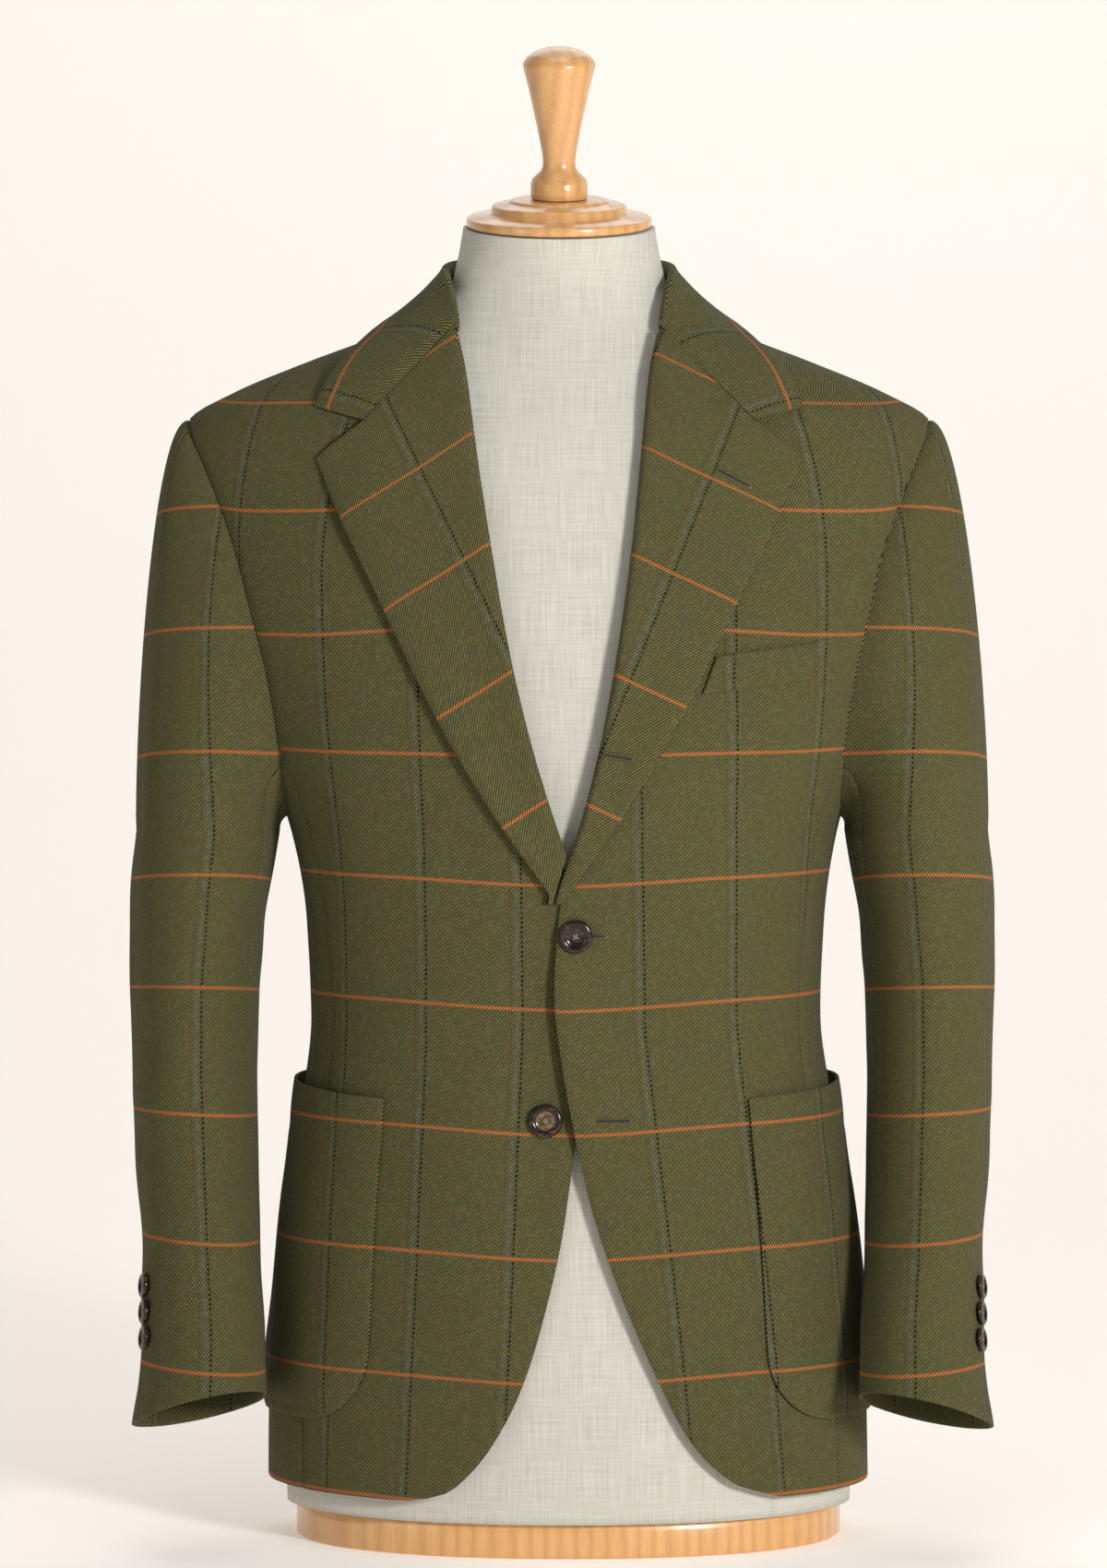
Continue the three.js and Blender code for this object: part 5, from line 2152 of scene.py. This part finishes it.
def close_seam_and_ends(piece: bpy.types.Object) -> None:
    """Joins a rolled-up net along its seam and closes both ends.

    Args:
        piece: object whose mesh is the net.
    """
    bm = bmesh.new()
    bm.from_mesh(piece.data)
    bmesh.ops.remove_doubles(bm, verts=bm.verts, dist=WELD)
    rims = [e for e in bm.edges if e.is_boundary]
    bmesh.ops.holes_fill(bm, edges=rims, sides=0)
    bmesh.ops.recalc_face_normals(bm, faces=bm.faces)
    bm.to_mesh(piece.data)
    bm.free()


@dataclass
class Turned:
    """A turned wooden piece on the tilted axis of the neck."""

    node: str
    start: float
    profile: tuple[tuple[float, float], ...]
    steps: int = 96

    def build(self) -> bpy.types.Object:
        """Spins the profile and sets it on the neck."""
        bm = spun([(radius, height + self.start) for radius, height in self.profile], self.steps)
        middle = Vector((0, NECK_CENTRE_Y, NECK_TOP)) * MM
        bm.transform(Matrix.Translation(middle) @ Matrix.Rotation(NECK_TILT, 4, "X"))
        piece = mesh_object(f"{self.node}_turned", bm)
        round_edges(piece, 0.5, 3, 40)
        piece.data.materials.append(FINISH.wood)
        declare(piece, self.node)
        return piece


# Height of each ring of the board's edge, and how far it lies inside the form's outline
BOARD_RINGS = (
    (0.0, 8.0), (1.5, 6.2), (4.0, 6.0), (BOARD_TOP - 6, 6.0), (BOARD_TOP - 2.5, 6.6),
    (BOARD_TOP - 0.6, 7.6), (BOARD_TOP, 9.0),
)


@dataclass
class BaseBoard:
    """The oval board that the form stands on."""

    spokes: int = 120

    def build(self) -> bpy.types.Object:
        """Makes the board with a rounded edge."""
        middle = Vector((FORM.shift(0), 0, 0))
        outline = []
        for turn in round_turns(self.spokes):
            away = FORM.point(turn, BOARD_TOP) - middle
            away.z = 0
            outline.append(away)
        grid: Grid = [
            [(middle + away.normalized() * (away.length - inward) + UP * height, (0.0, height))
             for away in outline]
            for height, inward in BOARD_RINGS
        ]
        piece = grid_mesh("base_board_oval", grid)
        close_seam_and_ends(piece)
        piece.data.materials.append(FINISH.wood)
        declare(piece, "base_board")
        return piece


@dataclass(frozen=True)
class Lamp:
    """A square soft light: its place in metres, its size and its power in watts."""

    name: str
    place: tuple[float, float, float]
    size: float
    energy: float


LAMPS = (
    Lamp("key", (1.6, -2.4, 0.95), 0.45, 66),
    Lamp("fill", (-2.4, -2.2, 1.0), 1.6, 10),
    Lamp("top", (0.0, -0.5, 2.9), 1.2, 8),
    Lamp("paper_light", (0.0, 1.3, 2.8), 2.2, 15),
)


@dataclass
class Studio:
    """Pale floor and backdrop, soft lights, and the camera at the photograph's angle."""

    camera_side: float = -0.0035
    camera_height: float = 0.622
    distance: float = 3.6
    lens: float = 130.5
    aim_drop: float = 0.146
    paper: tuple = rgb(253, 248, 242)
    paper_front: float = -5.0
    paper_half: float = 6.0
    bend_start: float = 1.6
    bend_radius: float = 1.2
    paper_top: float = 5.0

    def build(self) -> None:
        """Sets the stage."""
        self.sweep()
        self.lights()
        self.camera()

    def sweep(self) -> None:
        """Paper that runs from the floor up behind the object; from its back it is clear."""
        bm = bmesh.new()
        bmesh.ops.create_grid(bm, x_segments=1, y_segments=40, size=1)
        bm.verts.ensure_lookup_table()
        for vert in bm.verts:
            y, z = self.sweep_point((vert.co.y + 1) / 2)
            vert.co = Vector((vert.co.x * self.paper_half, y, z))
        paper = mesh_object("paper_sweep", bm)
        g = Graph("paper")
        g.shader.inputs["Emission Color"].default_value = self.paper
        behind = g.node("ShaderNodeNewGeometry").outputs["Backfacing"]
        g.put(g.shader.inputs["Alpha"], g.math("SUBTRACT", 1.0, behind))
        paper.data.materials.append(
            g.finish(self.paper, 0.95, Specular_IOR_Level=0.1, Emission_Strength=0.26))

    def sweep_point(self, t: float) -> tuple[float, float]:
        """Depth and height along the paper: level, bent upwards, then upright.

        Args:
            t: share of the way along.

        Returns:
            Metres back and up.
        """
        start, radius = self.bend_start, self.bend_radius
        level, upright = 0.4, 0.7
        if t < level:
            return mix(self.paper_front, start, t / level), 0.0
        if t < upright:
            turn = (t - level) / 0.3 * RIGHT_ANGLE
            return start + radius * math.sin(turn), radius * (1 - math.cos(turn))
        return start + radius, mix(radius, self.paper_top, (t - upright) / 0.3)

    def lights(self) -> None:
        """A soft key from the right front, a fill, a top light, one for the paper, and the sky."""
        self.sky()
        for lamp in LAMPS:
            data = bpy.data.lights.new(lamp.name, "AREA")
            data.size = lamp.size
            data.energy = lamp.energy
            made = linked(lamp.name, data)
            made.location = lamp.place
            aim = Vector((0, 0, 0.5)) - Vector(lamp.place)
            made.rotation_euler = aim.to_track_quat("-Z", "Y").to_euler()

    def sky(self) -> None:
        """A pale sky that is brighter to the camera than to the object."""
        world = bpy.data.worlds.new("sky")
        world.use_nodes = True
        tree = world.node_tree
        sky = tree.nodes["Background"]
        sky.inputs["Color"].default_value = (1.0, 0.985, 0.955, 1.0)
        seen = tree.nodes.new("ShaderNodeLightPath").outputs["Is Camera Ray"]
        level = tree.nodes.new("ShaderNodeMapRange")
        level.inputs["To Min"].default_value = 0.2
        level.inputs["To Max"].default_value = 0.8
        tree.links.new(seen, level.inputs["Value"])
        tree.links.new(level.outputs["Result"], sky.inputs["Strength"])
        bpy.context.scene.world = world
        bpy.context.scene.view_settings.view_transform = "Standard"

    def camera(self) -> None:
        """The photograph's view: level with the chest, a long lens, a slight look down."""
        data = bpy.data.cameras.new("photo_angle")
        data.sensor_width = 36
        data.sensor_fit = "AUTO"
        data.lens = self.lens
        data.clip_end = 50
        camera = linked("photo_angle", data)
        camera.location = (self.camera_side, -self.distance, self.camera_height)
        camera.rotation_euler = (RIGHT_ANGLE - math.atan2(self.aim_drop, self.distance), 0, 0)
        bpy.context.scene.camera = camera


@dataclass
class Jacket:
    """Every cloth piece and its trim."""

    def build(self) -> None:
        """Makes the whole jacket."""
        for side in Side:
            self.half(side)
        self.log(Collar(Side.LEFT, (0.46, 0.092), 0.0345, held="folded"))
        self.log(BreastWelt(Side.LEFT, (0.075, 0.027), 0.0018, held="laid",
                            rests_on=("front_left_cloth",)))
        self.front_buttons()
        self.front_holes()

    def log(self, piece: Cloth) -> None:
        """Builds a piece and logs its size."""
        made = piece.build()
        area = sum(polygon.area for polygon in made.data.polygons)
        LOG.info("%s: %.4f square metres of cloth", made.name, area)

    def half(self, side: Side) -> None:
        """One side of the jacket.

        Args:
            side: side of the wearer; the fronts overlap, so some sizes differ between sides.
        """
        front = (f"front_{side.word}_cloth",)
        left = side is Side.LEFT
        front_area, lapel_area, stand, group = (
            (0.1198, 0.0209, 1.8, 106.0) if left else (0.1270, 0.0224, 4.4, 97.0))
        for piece in (
            FrontPanel(side, (0.28, 0.775), front_area),
            SidePanel(side, (0.16, 0.47), 0.0528),
            BackPanel(side, (0.245, 0.80), 0.1485),
            Lapel(side, (0.112, 0.362), lapel_area, held="folded", rests_on=front, stand=stand),
            PatchPocket(side, (0.168, 0.214), 0.0346, held="laid", rests_on=front),
            SleevePiece(side, (0.225, 0.66), 0.119, upper=True, group=group),
            SleevePiece(side, (0.155, 0.50), 0.0637, upper=False, columns=34, group=group),
        ):
            self.log(piece)
        self.cuff(side)

    def cuff(self, side: Side) -> None:
        """Three buttons at the cuff.

        Args:
            side: side of the wearer.
        """
        shape = SleeveShape(side)
        for i, height in enumerate((164, 149, 134)):
            point, normal, down = shape.surface(math.radians(30), height)
            place = frame_on(point + normal * 0.8, normal, -down)
            Button(f"button_cuff_{side.word}_{i + 1}", place, 7.7, 3.2, 0.3 * i).build()

    def front_buttons(self) -> None:
        """The two buttons of the front."""
        for node, side, x, height, tilt, core in (
            ("button_front_upper", Side.LEFT, 10.0, 387.0, 0.25, FINISH.horn),
            ("button_front_lower", Side.RIGHT, -8.5, 273.0, 0.7, FINISH.pale_horn),
        ):
            turn = BODY.turn_at_x(x, height)
            base, _ = body_spot(side, side.value * turn, height)
            normal = (BODY.lifted(turn, height, 1.0) - BODY.lifted(turn, height, 0.0)).normalized()
            Button(node, frame_on(base + normal * 0.6, normal, UP), 10.5, 4.0, tilt, core).build()

    def front_holes(self) -> None:
        """Buttonholes of the left front and lapel."""
        for name, x, height, lean, out, length in (
            ("hole_waist", 18.5, 387, 0.0, 0.0, 19),
            ("hole_lower", 33.5, 273, 0.0, 0.0, 20),
            ("hole_roll", 36.0, 497.5, -0.17, 5.7, 16),
            ("hole_lapel", 107.0, 667, -0.48, 5.1, 21),
        ):
            place = chest_hole(Side.LEFT, x, height, lean, out)
            Buttonhole(name, place, length, open=name != "hole_lapel").build()


# Radius and height of the turned wood, from the axis below round to the axis above
NECK_BLOCK = (
    (0, 0), (57, 0), (58.2, 0.8), (58.5, 2.0), (58.5, 4.5), (58.0, 5.7), (56.6, 6.4), (43.8, 8.1),
    (43.1, 8.9), (42.7, 12.2), (41.9, 13.6), (40.3, 14.1), (32.4, 15.0), (31.5, 15.6), (31.2, 16.3),
    (30.4, 17.1), (28, 17.3), (0, 17.3),
)
HANDLE = (
    (0, 0), (17.3, 0), (18, 1.2), (18.1, 5), (18, 9.5), (17.0, 12.6), (14.3, 15.2), (11.8, 17.4),
    (10.6, 20.2), (10.3, 23.5), (10.6, 27), (11.8, 34), (14.0, 45.5), (16.8, 58), (19.2, 69),
    (21.5, 78), (22.7, 82.6), (22.9, 84.4), (22.3, 86.2), (19.6, 89.5), (15, 92.5), (9, 94.7),
    (4, 95.4), (0, 95.5),
)


def main() -> None:
    """Builds the scene, a piece at a time."""
    logging.basicConfig(level=logging.INFO, format="%(name)s: %(message)s")
    Studio().build()
    LOG.info("studio is set")
    BaseBoard().build()
    FormCover().build()
    Turned("neck_block", 0.3, NECK_BLOCK).build()
    Turned("neck_handle", 17.9, HANDLE).build()
    LOG.info("form is built")
    Jacket().build()
    LOG.info("jacket is built")


if __name__ == "__main__":
    main()
